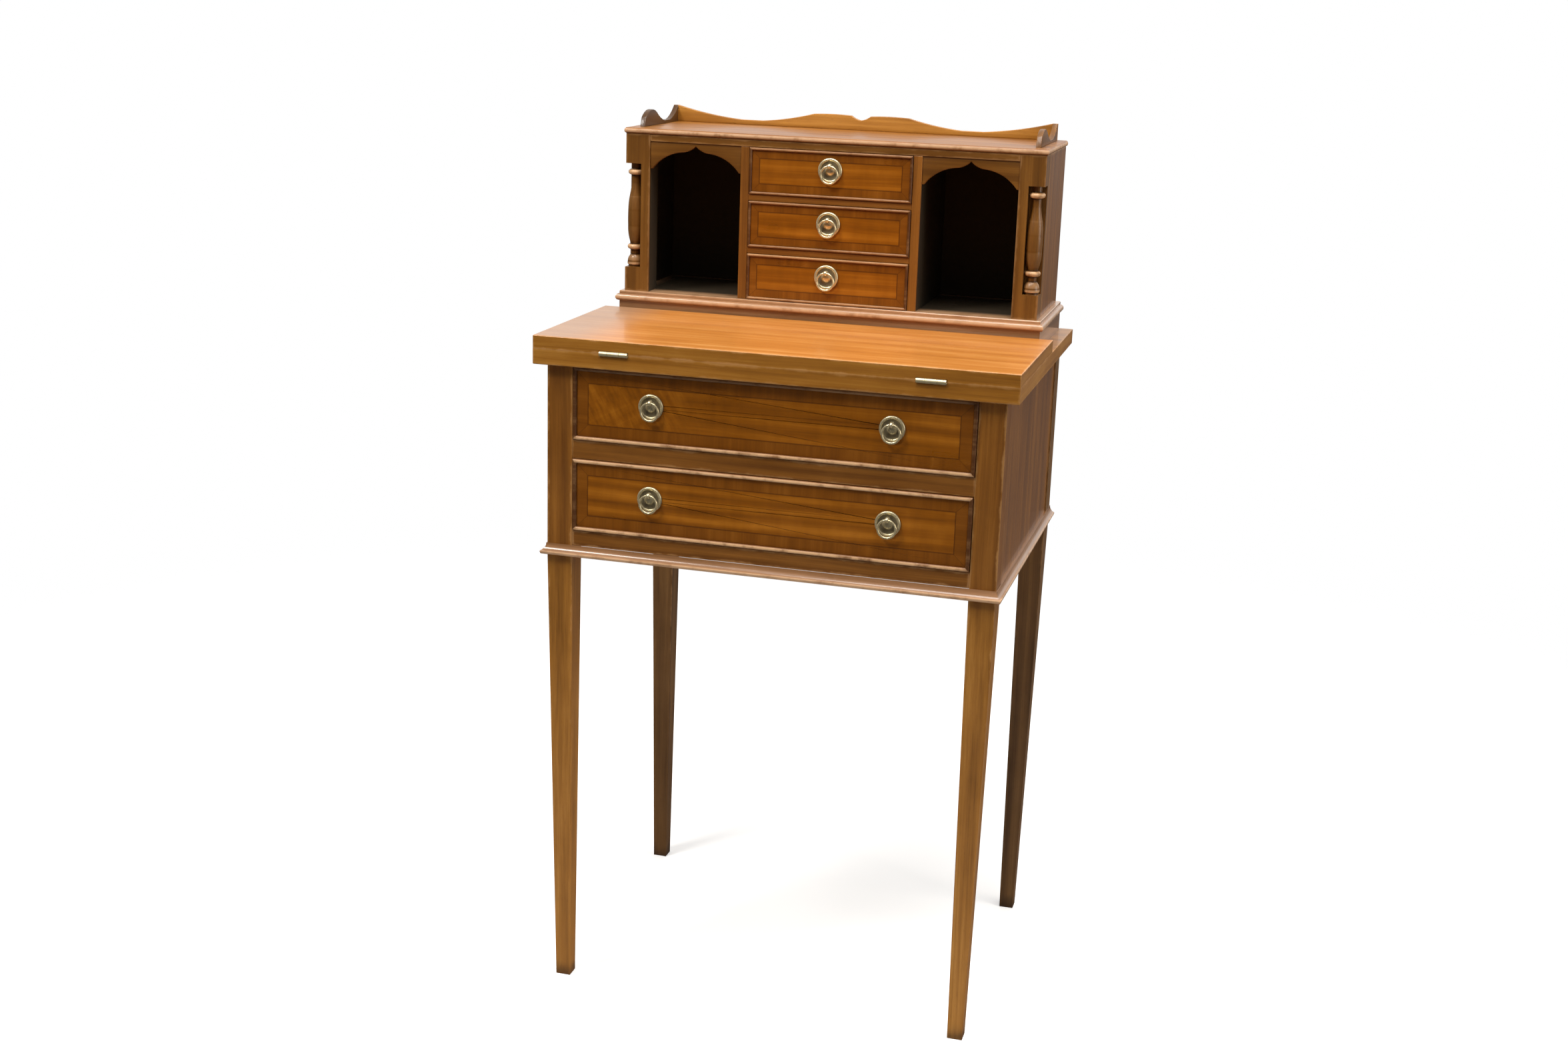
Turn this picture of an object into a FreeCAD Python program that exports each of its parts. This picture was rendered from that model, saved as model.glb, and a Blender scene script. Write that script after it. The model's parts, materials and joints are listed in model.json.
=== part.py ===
"""A bonheur du jour: a small free-standing writing desk on four tapered legs.

A case with two long drawers stands on the legs.  Its top is a fixed bed with a
writing leaf folded on it, which swings forward on two butt hinges.  Behind the
leaf stands a superstructure: two arched pigeonholes beside three small drawers,
with turned corner columns and a shaped gallery on top.

Frame: millimetres, +Z up, the desk's front faces -Y.  The origin is on the floor
at the middle of the desk's footprint.
"""
import FreeCAD, Part
import os
import re
import Sketcher
from FreeCAD import Placement, Rotation, Vector

doc = FreeCAD.newDocument("BonheurDuJour")

# ---------------------------------------------------------------- driving sizes
SIZES = {
    # the desk as a whole
    "writing_height": 760.0,      # floor to the top of the folded leaf
    "board_width": 528.0,         # width of the leaf and of the bed under it
    "board_depth": 392.0,         # front to back of the bed
    "bed_thick": 17.3,
    "leaf_thick": 14.5,
    "leaf_depth": 221.0,
    "leaf_play": 0.8,             # between the leaf's back edge and the plinth
    "board_arris": 1.2,           # rounding of the long edges
    # case
    "side_overhang": 13.5,        # bed beyond each side of the case
    "front_overhang": 9.0,        # bed beyond the case front
    "post_side": 29.0,            # square of each corner post
    "foot_side": 17.0,            # square of each foot
    "foot_lean": 8.5,             # how far each foot's outer faces stand inside the post's
    "mid_rail_height": 20.5,
    "low_rail_height": 17.3,
    "opening_height": 81.4,       # of each long drawer
    "panel_thick": 10.0,
    "panel_recess": 1.5,          # side panels behind the faces of the posts
    "back_thick": 6.0,
    "bearer_thick": 12.0,         # drawer runners
    "bearer_width": 34.0,
    "guide_height": 14.0,         # drawer guides on the runners
    "skirt_height": 12.0,         # moulding round the foot of the case
    "skirt_reach": 6.0,
    # long drawers
    "slack": 0.5,                 # round each drawer front
    "front_thick": 16.0,
    "bead_width": 4.5,            # cockbead round a long drawer
    "bead_proud": 2.6,
    "bead_depth": 6.0,            # how far a bead is let into the front
    "lining_thick": 8.0,          # drawer sides and backs
    "drawer_room": 35.0,          # from the back of a drawer to the case's back
    "lining_drop": 7.0,           # top of the sides below the top of the front
    "base_thick": 5.0,            # drawer bottoms
    "base_lift": 6.0,             # underside of a bottom above the foot of the sides
    "groove_depth": 3.0,
    "base_play": 0.2,             # bottoms in their grooves
    "tail_reach": 8.0,            # lapped dovetails into a long front
    "tail_share": 0.78,           # of each dovetail's pitch, at its wide end
    "tail_slope": 6.0,            # a dovetail widens by one in this many
    "tail_strip": 2.0,            # strip of the side that the dovetails stand on
    "pull_spread": 264.0,         # between the two pulls of a long drawer
    "pull_lift": 3.0,             # pulls above the middle of a long front
    # superstructure
    "plinth_inset": 12.0,         # from each end of the bed
    "plinth_rise": 18.5,          # plinth top above the folded leaf
    "plinth_back_gap": 6.0,       # behind the plinth, to the back of the bed
    "nose_height": 8.0,           # rounded nose of the plinth
    "nose_reach": 4.0,            # nose beyond the plinth's body
    "plinth_lip": 3.5,            # flat step above the nose
    "upper_inset": 9.0,           # superstructure inside each end of the plinth
    "upper_setback": 8.0,         # superstructure behind the plinth's nose
    "upper_back_gap": 6.2,        # superstructure in front of the plinth's back edge
    "upper_height": 181.5,        # plinth top to the underside of the top board
    "cap_thick": 6.5,             # top board
    "cap_reach": 2.0,
    "end_thick": 10.0,
    "upper_back_thick": 6.0,
    "stile_side": 29.0,           # square corner stiles of the superstructure
    "niche_side": 18.4,           # square niche for a column in a stile's outer corner
    "niche_foot": 27.6,           # foot of a niche above the plinth
    "niche_head": 34.1,           # head of a niche below the top board
    "column_gap": 0.3,            # column to the walls of its niche
    "dowel_dia": 4.0,             # pin and dowel of a column
    "dowel_reach": 8.0,
    "lintel_height": 8.0,
    "lintel_depth": 10.0,
    "wall_thick": 10.0,           # partitions
    "wall_spread": 200.0,         # between the middles of the partitions
    "shelf_thick": 7.0,           # dust boards
    # small drawers
    "small_slack": 0.4,
    "small_front": 12.0,
    "small_bead": 3.0,
    "small_bead_proud": 2.0,
    "small_bead_depth": 4.5,
    "small_tail_reach": 5.5,
    "small_lining": 6.0,
    "small_room": 12.0,           # behind a small drawer
    "small_drop": 4.0,
    "small_base": 3.0,
    "small_lift": 4.0,
    "small_groove": 2.0,
    "small_pull_lift": 5.0,       # pulls above the middle of a small front
    # arches
    "fret_thick": 6.0,
    "fret_recess": 1.0,
    "fret_drop": 31.0,            # foot of the arch below the lintel
    "fret_toe": 2.5,              # flat at the foot of the arch
    "fret_shoulder": 10.8,        # shoulder below the lintel
    "fret_tip": 3.2,              # point of the arch below the lintel
    "fret_ogee": 15.0,            # half width of the pointed middle
    # gallery
    "gallery_thick": 6.0,
    "gallery_inset": 12.0,        # from the ends of the top board
    "gallery_back_inset": 5.0,
    "gallery_high": 19.0,
    "gallery_low": 5.5,
    "gallery_dip": 11.5,          # height at the middle of the back
    "gallery_front_gap": 18.0,    # from the front of the top board to the side pieces
    # hinges of the leaf
    "knuckle_dia": 5.2,
    "hinge_length": 32.0,
    "hinge_spread": 344.0,        # between the middles of the two hinges
    "hinge_plate": 1.2,
    "hinge_leaf_width": 13.0,
    "hinge_gap": 0.15,            # hinge axis in front of the boards' edges
    "knuckle_room": 0.4,
    "knuckle_play": 0.2,
    "pin_dia": 2.0,
    "pin_play": 0.05,
    # ring pulls
    "rose_dia": 28.0,
    "rose_edge": 1.2,             # height of the rose's edge
    "rose_rim": 2.6,              # height of its raised rim
    "rim_width": 3.4,
    "rose_dish": 1.0,             # height of its floor
    "boss_dia": 12.5,             # domed boss in its middle
    "boss_height": 3.2,
    "eye_lift": 5.0,              # eye of the ring above the middle of the rose
    "eye_reach": 5.4,             # axis of the eye in front of the drawer
    "eye_play": 0.5,
    "stud_dia": 5.6,              # stud that holds the eye
    "ring_wire": 2.6,
    "ring_dia": 22.0,             # outside of the ring
    "bolt_dia": 3.6,
    "bolt_play": 0.2,
    "nut_side": 7.0,
    "nut_thick": 2.6,
}

sheet = doc.addObject("Spreadsheet::Sheet", "Sizes")
for row, (alias, number) in enumerate(SIZES.items(), start=1):
    sheet.set(f"A{row}", str(number))
    sheet.setAlias(f"A{row}", alias)
doc.recompute()

# ------------------------------------------------ places worked out from the sizes
PLACES = {
    "knuckle_reach": "hinge_gap + knuckle_dia / 2",
    "back": "(board_depth + knuckle_reach) / 2",
    "board_front": "back - board_depth",
    "board_half": "board_width / 2",
    "seam": "writing_height - leaf_thick",
    "bed_under": "seam - bed_thick",
    "leaf_back": "board_front + leaf_depth",
    "case_half": "board_half - side_overhang",
    "case_front": "board_front + front_overhang",
    "drawer_length": "back - back_thick - drawer_room - case_front",
    "post_in": "case_half - post_side",
    "post_back": "case_front + post_side",
    "rear_post": "back - post_side",
    "mid_rail_top": "bed_under - opening_height",
    "mid_rail_foot": "mid_rail_top - mid_rail_height",
    "low_rail_top": "mid_rail_foot - opening_height",
    "case_foot": "low_rail_top - low_rail_height",
    "leg_top": "case_foot - skirt_height",
    "panel_in": "case_half - panel_recess - panel_thick",
    "plinth_half": "board_half - plinth_inset",
    "plinth_front": "leaf_back + leaf_play",
    "plinth_back": "back - plinth_back_gap",
    "plinth_top": "writing_height + plinth_rise",
    "nose_top": "plinth_top - plinth_lip",
    "nose_foot": "nose_top - nose_height",
    "upper_half": "plinth_half - upper_inset",
    "upper_front": "plinth_front + upper_setback",
    "upper_back": "plinth_back - upper_back_gap",
    "upper_top": "plinth_top + upper_height",
    "cap_top": "upper_top + cap_thick",
    "stile_in": "upper_half - stile_side",
    "stile_back": "upper_front + stile_side",
    "niche_low": "plinth_top + niche_foot",
    "niche_high": "upper_top - niche_head",
    "column_height": "niche_high - niche_low",
    "column_radius": "niche_side / 2 - column_gap",
    "column_across": "upper_half - niche_side / 2",
    "column_deep": "upper_front + niche_side / 2",
    "bore_radius": "dowel_dia / 2 + column_gap",
    "end_in": "upper_half - end_thick",
    "lintel_foot": "upper_top - lintel_height",
    "wall_in": "(wall_spread - wall_thick) / 2",
    "wall_out": "(wall_spread + wall_thick) / 2",
    "upper_lining": "upper_back - upper_back_thick",
    "small_length": "upper_lining - small_room - upper_front",
    "small_opening": "(lintel_foot - plinth_top - 2 * shelf_thick) / 3",
    "fret_half": "(stile_in - wall_out) / 2",
    "fret_middle": "(stile_in + wall_out) / 2",
    "cap_half": "upper_half + cap_reach",
    "gallery_half": "cap_half - gallery_inset",
    "gallery_back": "upper_back - gallery_back_inset",
    "gallery_front": "upper_front - cap_reach + gallery_front_gap",
    "gallery_run": "gallery_back - gallery_thick - gallery_front",
    "ring_radius": "(ring_dia - ring_wire) / 2",
}


def expand(text):
    """Spell a formula out in cells of the sheet."""
    def word(match):
        name = match.group(0)
        if name in PLACES:
            return "(" + expand(PLACES[name]) + ")"
        return "Sizes." + name if name in SIZES else name
    return re.sub(r"[a-z][a-z_]*", word, str(text))


def value(text):
    """The number that a formula gives now."""
    return float(sheet.evalExpression(expand(text)))


def bind(item, prop, text):
    item.setExpression(prop, expand(text))


NODES = {}
HANDS = (("left", -1), ("right", 1))


def keep(item, label):
    """Name a finished sub-part; its label is its file's name."""
    item.Label = label
    NODES[label] = item
    return item


# -------------------------------------------------------------- ways of making
def board(name, x, y, z):
    """A sawn board between two x, two y and two z places."""
    item = doc.addObject("Part::Box", name)
    for prop, base, (low, high) in (("Length", "x", x), ("Width", "y", y), ("Height", "z", z)):
        bind(item, prop, f"({high}) - ({low})")
        bind(item, f"Placement.Base.{base}", low)
    return item


def rod(name, axis, radius, length, x, y, z):
    """A cylinder along X, Y or Z that starts at a point."""
    item = doc.addObject("Part::Cylinder", name)
    turn = {"x": Rotation(Vector(0, 1, 0), 90), "y": Rotation(Vector(1, 0, 0), -90), "z": Rotation()}
    item.Placement = Placement(Vector(), turn[axis])
    bind(item, "Radius", radius)
    bind(item, "Height", length)
    for base, place in (("x", x), ("y", y), ("z", z)):
        bind(item, f"Placement.Base.{base}", place)
    return item


def fused(name, items):
    item = doc.addObject("Part::MultiFuse", name)
    item.Shapes = items
    item.Refine = True
    return item


def less(name, base, tools):
    """The base with the tools cut out of it."""
    item = doc.addObject("Part::Cut", name)
    item.Base = base
    item.Tool = tools[0] if len(tools) == 1 else fused(name + "_tools", tools)
    return item


def group(label, items):
    """Separate solids that share one node."""
    item = doc.addObject("Part::Compound", label)
    item.Links = items
    return keep(item, label)


def new_body(name, x="0", y="0", z="0", turn=None):
    body = doc.addObject("PartDesign::Body", name)
    body.Placement = Placement(Vector(), turn or Rotation())
    for base, place in (("x", x), ("y", y), ("z", z)):
        bind(body, f"Placement.Base.{base}", place)
    return body


def sketch_on(body, name, plane, lift=None):
    """An empty sketch on one of the body's own planes, lifted along its normal."""
    sketch = body.newObject("Sketcher::SketchObject", name)
    support = [item for item in body.Origin.OriginFeatures if item.Role == plane][0]
    sketch.AttachmentSupport = (support, [""])
    sketch.MapMode = "FlatFace"
    if lift is not None:
        bind(sketch, "AttachmentOffset.Base.z", lift)
    return sketch


def arc_between(start, end, sag):
    """The arc with this rise over its chord (left of the way when positive)."""
    chord = end - start
    radius = (chord.Length ** 2 / 4 + sag ** 2) / (2 * abs(sag))
    left = Vector(-chord.y, chord.x, 0).normalize()
    side = 1 if sag > 0 else -1
    centre = (start + end) * 0.5 + left * side * (abs(sag) - radius)
    first, last = (end, start) if sag > 0 else (start, end)
    circle = Part.Circle(centre, Vector(0, 0, 1), radius)
    arc = Part.ArcOfCircle(circle, circle.parameter(first), circle.parameter(last))
    return arc, sag < 0


def trace(sketch, points):
    """Draw a closed outline; every corner and every arc's radius follows the sheet.

    A point is (u, v) or (u, v, sag): the sag makes the edge that ends there an arc.
    """
    spots = [Vector(value(p[0]), value(p[1]), 0) for p in points]
    starts = []
    for index, point in enumerate(points):
        before = index - 1
        if len(point) == 2:
            number = sketch.addGeometry(Part.LineSegment(spots[before], spots[index]), False)
            starts.append((number, 1, 2))
        else:
            arc, forward = arc_between(spots[before], spots[index], value(point[2]))
            number = sketch.addGeometry(arc, False)
            starts.append((number, 1, 2) if forward else (number, 2, 1))
    for index, point in enumerate(points):
        edge, _, end = starts[index]
        following, start, _ = starts[(index + 1) % len(points)]
        sketch.addConstraint(Sketcher.Constraint("Coincident", edge, end, following, start))
        for kind, text, spot in (("DistanceX", point[0], spots[index].x),
                                 ("DistanceY", point[1], spots[index].y)):
            rule = sketch.addConstraint(Sketcher.Constraint(kind, -1, 1, edge, end, spot))
            sketch.setExpression(f"Constraints[{rule}]", expand(text))
        if len(point) == 3:
            u0, v0 = points[index - 1][:2]
            chord = f"(({point[0]}) - ({u0})) ^ 2 + (({point[1]}) - ({v0})) ^ 2"
            radius = f"(({chord}) / 4 + ({point[2]}) ^ 2) / (2 * abs({point[2]}))"
            rule = sketch.addConstraint(Sketcher.Constraint("Radius", edge, value(radius)))
            sketch.setExpression(f"Constraints[{rule}]", expand(radius))
    return sketch


def rectangle(u0, v0, u1, v1):
    return [(u0, v0), (u1, v0), (u1, v1), (u0, v1)]


def pad(body, name, plane, points, length, lift=None, back=False):
    """Pad an outline; back pads it against the plane's normal."""
    sketch = trace(sketch_on(body, name + "_outline", plane, lift), points)
    feature = body.newObject("PartDesign::Pad", name)
    feature.Profile = sketch
    feature.Reversed = back
    bind(feature, "Length", length)
    return feature


def pocket(body, name, plane, points, length, lift=None, back=False):
    sketch = trace(sketch_on(body, name + "_outline", plane, lift), points)
    feature = body.newObject("PartDesign::Pocket", name)
    feature.Profile = sketch
    feature.Reversed = back
    bind(feature, "Length", length)
    return feature


def turned(body, name, points):
    """Turn an outline about the body's own Z axis."""
    sketch = trace(sketch_on(body, name + "_outline", "XZ_Plane"), points)
    feature = body.newObject("PartDesign::Revolution", name)
    feature.Profile = sketch
    feature.ReferenceAxis = (sketch, ["V_Axis"])
    feature.Angle = 360
    return feature


def rounded(body, name, radius, wanted):
    """Round the edges that wanted(edge) picks on the body as it stands."""
    doc.recompute()
    tip = body.Tip
    edges = [f"Edge{n}" for n, edge in enumerate(tip.Shape.Edges, start=1) if wanted(edge)]
    feature = body.newObject("PartDesign::Fillet", name)
    feature.Base = (tip, edges)
    bind(feature, "Radius", radius)
    return feature


def near(number, text):
    return abs(number - value(text)) < 1e-4


def flat_at(edge, axis, text):
    """Whether an edge lies in the plane where this axis has this value."""
    box = edge.BoundBox
    ends = {"x": (box.XMin, box.XMax), "y": (box.YMin, box.YMax), "z": (box.ZMin, box.ZMax)}[axis]
    return all(near(end, text) for end in ends)


# ----------------------------------------------------------------- posts and legs
def make_post(label, side, depth_side):
    """A corner post that runs down into a leg tapered on all four faces."""
    body = new_body(label)
    y_out, y_in = ("case_front", "post_back") if depth_side < 0 else ("back", "rear_post")
    square = rectangle(f"{side} * case_half", y_out, f"{side} * post_in", y_in)
    pad(body, label + "_post", "XY_Plane", square, "bed_under - leg_top", lift="leg_top")
    top = trace(sketch_on(body, label + "_leg_top", "XY_Plane", "leg_top"), square)
    foot = trace(sketch_on(body, label + "_foot", "XY_Plane"), rectangle(
        f"{side} * (case_half - foot_lean)", f"{y_out} - {depth_side} * foot_lean",
        f"{side} * (case_half - foot_lean - foot_side)",
        f"{y_out} - {depth_side} * (foot_lean + foot_side)"))
    loft = body.newObject("PartDesign::AdditiveLoft", label + "_leg")
    loft.Profile = top
    loft.Sections = [foot]
    loft.Ruled = True
    return keep(body, label)


make_post("post_front_left", -1, -1)
make_post("post_front_right", 1, -1)
make_post("post_back_left", -1, 1)
make_post("post_back_right", 1, 1)

# --------------------------------------------------------------------------- case
def sided(side, near_x, far_x):
    """Two x places, from low to high, on this side of the middle."""
    return (near_x, far_x) if side > 0 else (f"-({far_x})", f"-({near_x})")


for hand, side in HANDS:
    label = f"side_panel_{hand}"
    keep(board(label, sided(side, "panel_in", "panel_in + panel_thick"), ("post_back", "rear_post"),
               ("case_foot", "bed_under")), label)
keep(board("case_back", ("-post_in", "post_in"), ("back - back_thick", "back"), ("case_foot", "bed_under")),
     "case_back")
keep(board("middle_rail", ("-post_in", "post_in"), ("case_front", "post_back"),
           ("mid_rail_foot", "mid_rail_top")), "middle_rail")
keep(board("bottom_rail", ("-post_in", "post_in"), ("case_front", "post_back"),
           ("case_foot", "low_rail_top")), "bottom_rail")


def make_bearer(name, side, top):
    """A runner with a guide on it, which fills the space beside the drawer."""
    runner = board(name + "_runner", sided(side, "panel_in - bearer_width", "panel_in"),
                   ("post_back", "rear_post"), (f"{top} - bearer_thick", top))
    guide = board(name + "_guide", sided(side, "post_in", "panel_in"),
                  ("post_back", "rear_post"), (top, f"{top} + guide_height"))
    return fused(name, [runner, guide])


group("drawer_runners", [make_bearer(f"bearer_{word}_{hand}", side, top)
                         for word, top in (("upper", "mid_rail_top"), ("lower", "low_rail_top"))
                         for hand, side in HANDS])

# Skirt moulding round the foot of the case: one profile carried along the two
# sides and the front, mitred at the front corners.
skirt = new_body("base_moulding")
skirt_profile = trace(sketch_on(skirt, "skirt_profile", "XZ_Plane", "-back"), [
    ("-case_half", "leg_top"),
    ("-case_half", "case_foot"),
    ("-case_half - skirt_reach * 0.25", "case_foot"),
    ("-case_half - skirt_reach", "case_foot - skirt_height * 0.6", "-skirt_height * 0.12"),
    ("-case_half - skirt_reach * 0.6", "leg_top", "-skirt_height * 0.1"),
])
skirt_path = sketch_on(skirt, "skirt_path", "XY_Plane", "leg_top")
turns = [("-case_half", "back"), ("-case_half", "case_front"), ("case_half", "case_front"),
         ("case_half", "back")]
turn_spots = [Vector(value(u), value(v), 0) for u, v in turns]
for number in range(3):
    skirt_path.addGeometry(Part.LineSegment(turn_spots[number], turn_spots[number + 1]), False)
for number in range(4):
    edge, end = (number, 1) if number < 3 else (2, 2)
    if 0 < number < 3:
        skirt_path.addConstraint(Sketcher.Constraint("Coincident", number - 1, 2, number, 1))
    for kind, text, spot in (("DistanceX", turns[number][0], turn_spots[number].x),
                             ("DistanceY", turns[number][1], turn_spots[number].y)):
        rule = skirt_path.addConstraint(Sketcher.Constraint(kind, -1, 1, edge, end, spot))
        skirt_path.setExpression(f"Constraints[{rule}]", expand(text))
skirt_run = skirt.newObject("PartDesign::AdditivePipe", "skirt_run")
skirt_run.Profile = skirt_profile
skirt_run.Spine = skirt_path
skirt_run.Transition = "Right corner"
keep(skirt, "base_moulding")

# ------------------------------------------------------------- bed, leaf, hinges
def hinge_middle(side):
    return f"{side} * hinge_spread / 2"


def hinge_span(side):
    return (f"{hinge_middle(side)} - hinge_length / 2", f"{hinge_middle(side)} + hinge_length / 2")


def hinge_recesses(name):
    """Room for both knuckles and the two flush plates in a board's edge."""
    tools = []
    for hand, side in HANDS:
        start, end = hinge_span(side)
        tools.append(rod(f"{name}_room_{hand}", "x", "knuckle_dia / 2 + knuckle_room",
                         "hinge_length + 2 * knuckle_room", f"{start} - knuckle_room",
                         "board_front - hinge_gap", "seam"))
        tools.append(board(f"{name}_sink_{hand}", (start, end),
                           ("board_front - hinge_gap", "board_front + hinge_leaf_width"),
                           ("seam - hinge_plate", "seam + hinge_plate")))
    return tools


bed = new_body("bed_board")
pad(bed, "bed_plank", "XY_Plane", rectangle("-board_half", "board_front", "board_half", "back"),
    "bed_thick", lift="bed_under")
rounded(bed, "bed_arris", "board_arris", lambda edge: flat_at(edge, "z", "bed_under")
        and not flat_at(edge, "y", "back"))
keep(less("bed", bed, hinge_recesses("bed")), "writing_bed")
leaf = new_body("leaf_board")
pad(leaf, "leaf_plank", "XY_Plane", rectangle("-board_half", "board_front", "board_half", "leaf_back"),
    "leaf_thick", lift="seam")
rounded(leaf, "leaf_arris", "board_arris", lambda edge: flat_at(edge, "z", "writing_height"))
keep(less("leaf", leaf, hinge_recesses("leaf")), "writing_leaf")


def hinge_rod(name, side, first, last, radius, play):
    """A round between two fractions of a hinge's length, on the hinge's axis."""
    return rod(name, "x", radius, f"hinge_length * ({last} - {first}) - 2 * ({play})",
               f"{hinge_middle(side)} + hinge_length * ({first} - 0.5) + ({play})",
               "board_front - hinge_gap", "seam")


def hinge_half(name, side, own, other, low, high):
    """A flush plate with its own knuckles, cleared for the other half's and bored for the pin."""
    plate = board(name + "_plate", hinge_span(side),
                  ("board_front - hinge_gap", "board_front + hinge_leaf_width"), (low, high))
    barrels = [hinge_rod(f"{name}_barrel{n}", side, *span, "knuckle_dia / 2", "knuckle_play")
               for n, span in enumerate(own)]
    rooms = [hinge_rod(f"{name}_room{n}", side, *span, "knuckle_dia / 2 + knuckle_play", "0")
             for n, span in enumerate(other)]
    rooms.append(hinge_rod(name + "_bore", side, 0, 1, "pin_dia / 2 + pin_play", "-1"))
    return less(name, fused(name + "_solid", [plate] + barrels), rooms)


END_KNUCKLES = [(0, 0.3), (0.7, 1)]
MIDDLE_KNUCKLE = [(0.3, 0.7)]
fixed_halves = []
swung_halves = []
for hand, side in HANDS:
    fixed_halves.append(hinge_half(f"hinge_bed_{hand}", side, END_KNUCKLES, MIDDLE_KNUCKLE,
                                   "seam - hinge_plate", "seam"))
    fixed_halves.append(hinge_rod(f"hinge_pin_{hand}", side, 0, 1, "pin_dia / 2", "knuckle_play"))
    swung_halves.append(hinge_half(f"hinge_leaf_{hand}", side, MIDDLE_KNUCKLE, END_KNUCKLES,
                                   "seam", "seam + hinge_plate"))
group("hinge_halves_on_bed", fixed_halves)
group("hinge_halves_on_leaf", swung_halves)

# ---------------------------------------------------------------- superstructure
plinth = new_body("plinth")
PLINTH_BODY = rectangle("-plinth_half + nose_reach", "plinth_front + nose_reach",
                        "plinth_half - nose_reach", "plinth_back")
pad(plinth, "plinth_body", "XY_Plane", PLINTH_BODY, "nose_foot - seam", lift="seam")
pad(plinth, "plinth_nose", "XY_Plane",
    rectangle("-plinth_half", "plinth_front", "plinth_half", "plinth_back"), "nose_height",
    lift="nose_foot")
pad(plinth, "plinth_step", "XY_Plane", PLINTH_BODY, "plinth_lip", lift="nose_top")
rounded(plinth, "plinth_rounding", "nose_reach * 0.9",
        lambda edge: (flat_at(edge, "z", "nose_top") or flat_at(edge, "z", "nose_foot"))
        and (flat_at(edge, "x", "plinth_half") or flat_at(edge, "x", "-plinth_half")
             or flat_at(edge, "y", "plinth_front")))
keep(plinth, "plinth")

for hand, side in HANDS:
    label = f"end_panel_{hand}"
    keep(board(label, sided(side, "end_in", "upper_half"), ("stile_back", "upper_back"),
               ("plinth_top", "upper_top")), label)
keep(board("upper_back_panel", ("-end_in", "end_in"), ("upper_lining", "upper_back"),
           ("plinth_top", "upper_top")), "upper_back_panel")


def make_stile(name, side):
    """A corner stile with a niche in its outer corner, bored above and below it."""
    square = board(name + "_square", sided(side, "stile_in", "upper_half"),
                   ("upper_front", "stile_back"), ("plinth_top", "upper_top"))
    niche = board(name + "_niche", sided(side, "upper_half - niche_side", "upper_half"),
                  ("upper_front", "upper_front + niche_side"), ("niche_low", "niche_high"))
    bores = [rod(f"{name}_{end}_bore", "z", "bore_radius", length, f"{side} * column_across",
                 "column_deep", start)
             for end, start, length in (
                 ("foot", "niche_low - dowel_reach - column_gap", "dowel_reach + column_gap"),
                 ("head", "niche_high", "niche_head"))]
    return less(name, square, [niche] + bores)


group("front_stiles", [make_stile(f"stile_{hand}", side) for hand, side in HANDS])

# Corner columns, turned and let into the niches: a pin in the foot, a cushion, a
# ring, a vase with its belly low and its neck high, a second ring, and a socket in
# the head.  A loose dowel dropped through the stile's head, before the top board
# goes on, runs into the socket.  Half outline as shares of the radius and of the
# height, going up; an arc swells outwards where its sag is negative.
COLUMN = [
    ("0.86", "0"), ("0.86", "0.018"), ("0.97", "0.024"), ("0.97", "0.052", "-0.03"),
    ("0.54", "0.122", "-0.11"), ("0.54", "0.164"),
    ("0.8", "0.172"), ("0.8", "0.218", "-0.2"),
    ("0.66", "0.224"), ("0.68", "0.24"),
    ("0.98", "0.4", "-0.09"), ("0.98", "0.55", "-0.02"), ("0.82", "0.68", "-0.035"),
    ("0.54", "0.81", "0.025"), ("0.54", "0.884"),
    ("0.8", "0.892"), ("0.8", "0.938", "-0.2"),
    ("0.54", "0.946"), ("0.54", "1"),
]


def make_column(label, side):
    across = f"{side} * column_across"
    body = new_body(label + "_turning", across, "column_deep", "niche_low")
    outline = [("0", "-dowel_reach"), ("dowel_dia / 2", "-dowel_reach"), ("dowel_dia / 2", "0")]
    outline += [(f"column_radius * {p[0]}", f"column_height * {p[1]}")
                + ((f"column_radius * {p[2]}",) if len(p) == 3 else ()) for p in COLUMN]
    outline += [("bore_radius", "column_height"), ("bore_radius", "column_height - dowel_reach"),
                ("0", "column_height - dowel_reach")]
    turned(body, label + "_shaft", outline)
    dowel = rod(label + "_dowel", "z", "dowel_dia / 2", "dowel_reach + niche_head", across,
                "column_deep", "niche_high - dowel_reach")
    return group(label, [body, dowel])


make_column("corner_column_left", -1)
make_column("corner_column_right", 1)

keep(board("lintel", ("-stile_in", "stile_in"), ("upper_front", "upper_front + lintel_depth"),
           ("lintel_foot", "upper_top")), "lintel")


def make_wall(name, side):
    """A partition, notched over the lintel."""
    width = sided(side, "wall_in", "wall_out")
    plain = board(name + "_board", width, ("upper_front", "upper_lining"), ("plinth_top", "upper_top"))
    notch = board(name + "_notch", width, ("upper_front", "upper_front + lintel_depth"),
                  ("lintel_foot", "upper_top"))
    return less(name, plain, [notch])


group("partitions", [make_wall(f"partition_{hand}", side) for hand, side in HANDS])


def tier(number):
    """Height of the floor of a small drawer's opening, counted from the lowest."""
    return f"(plinth_top + {number} * (small_opening + shelf_thick))"


group("dust_boards", [
    board(f"dust_board_{number}", ("-wall_in", "wall_in"), ("upper_front", "upper_lining"),
          (f"{tier(number)} - shelf_thick", tier(number)))
    for number in (1, 2)])

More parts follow.
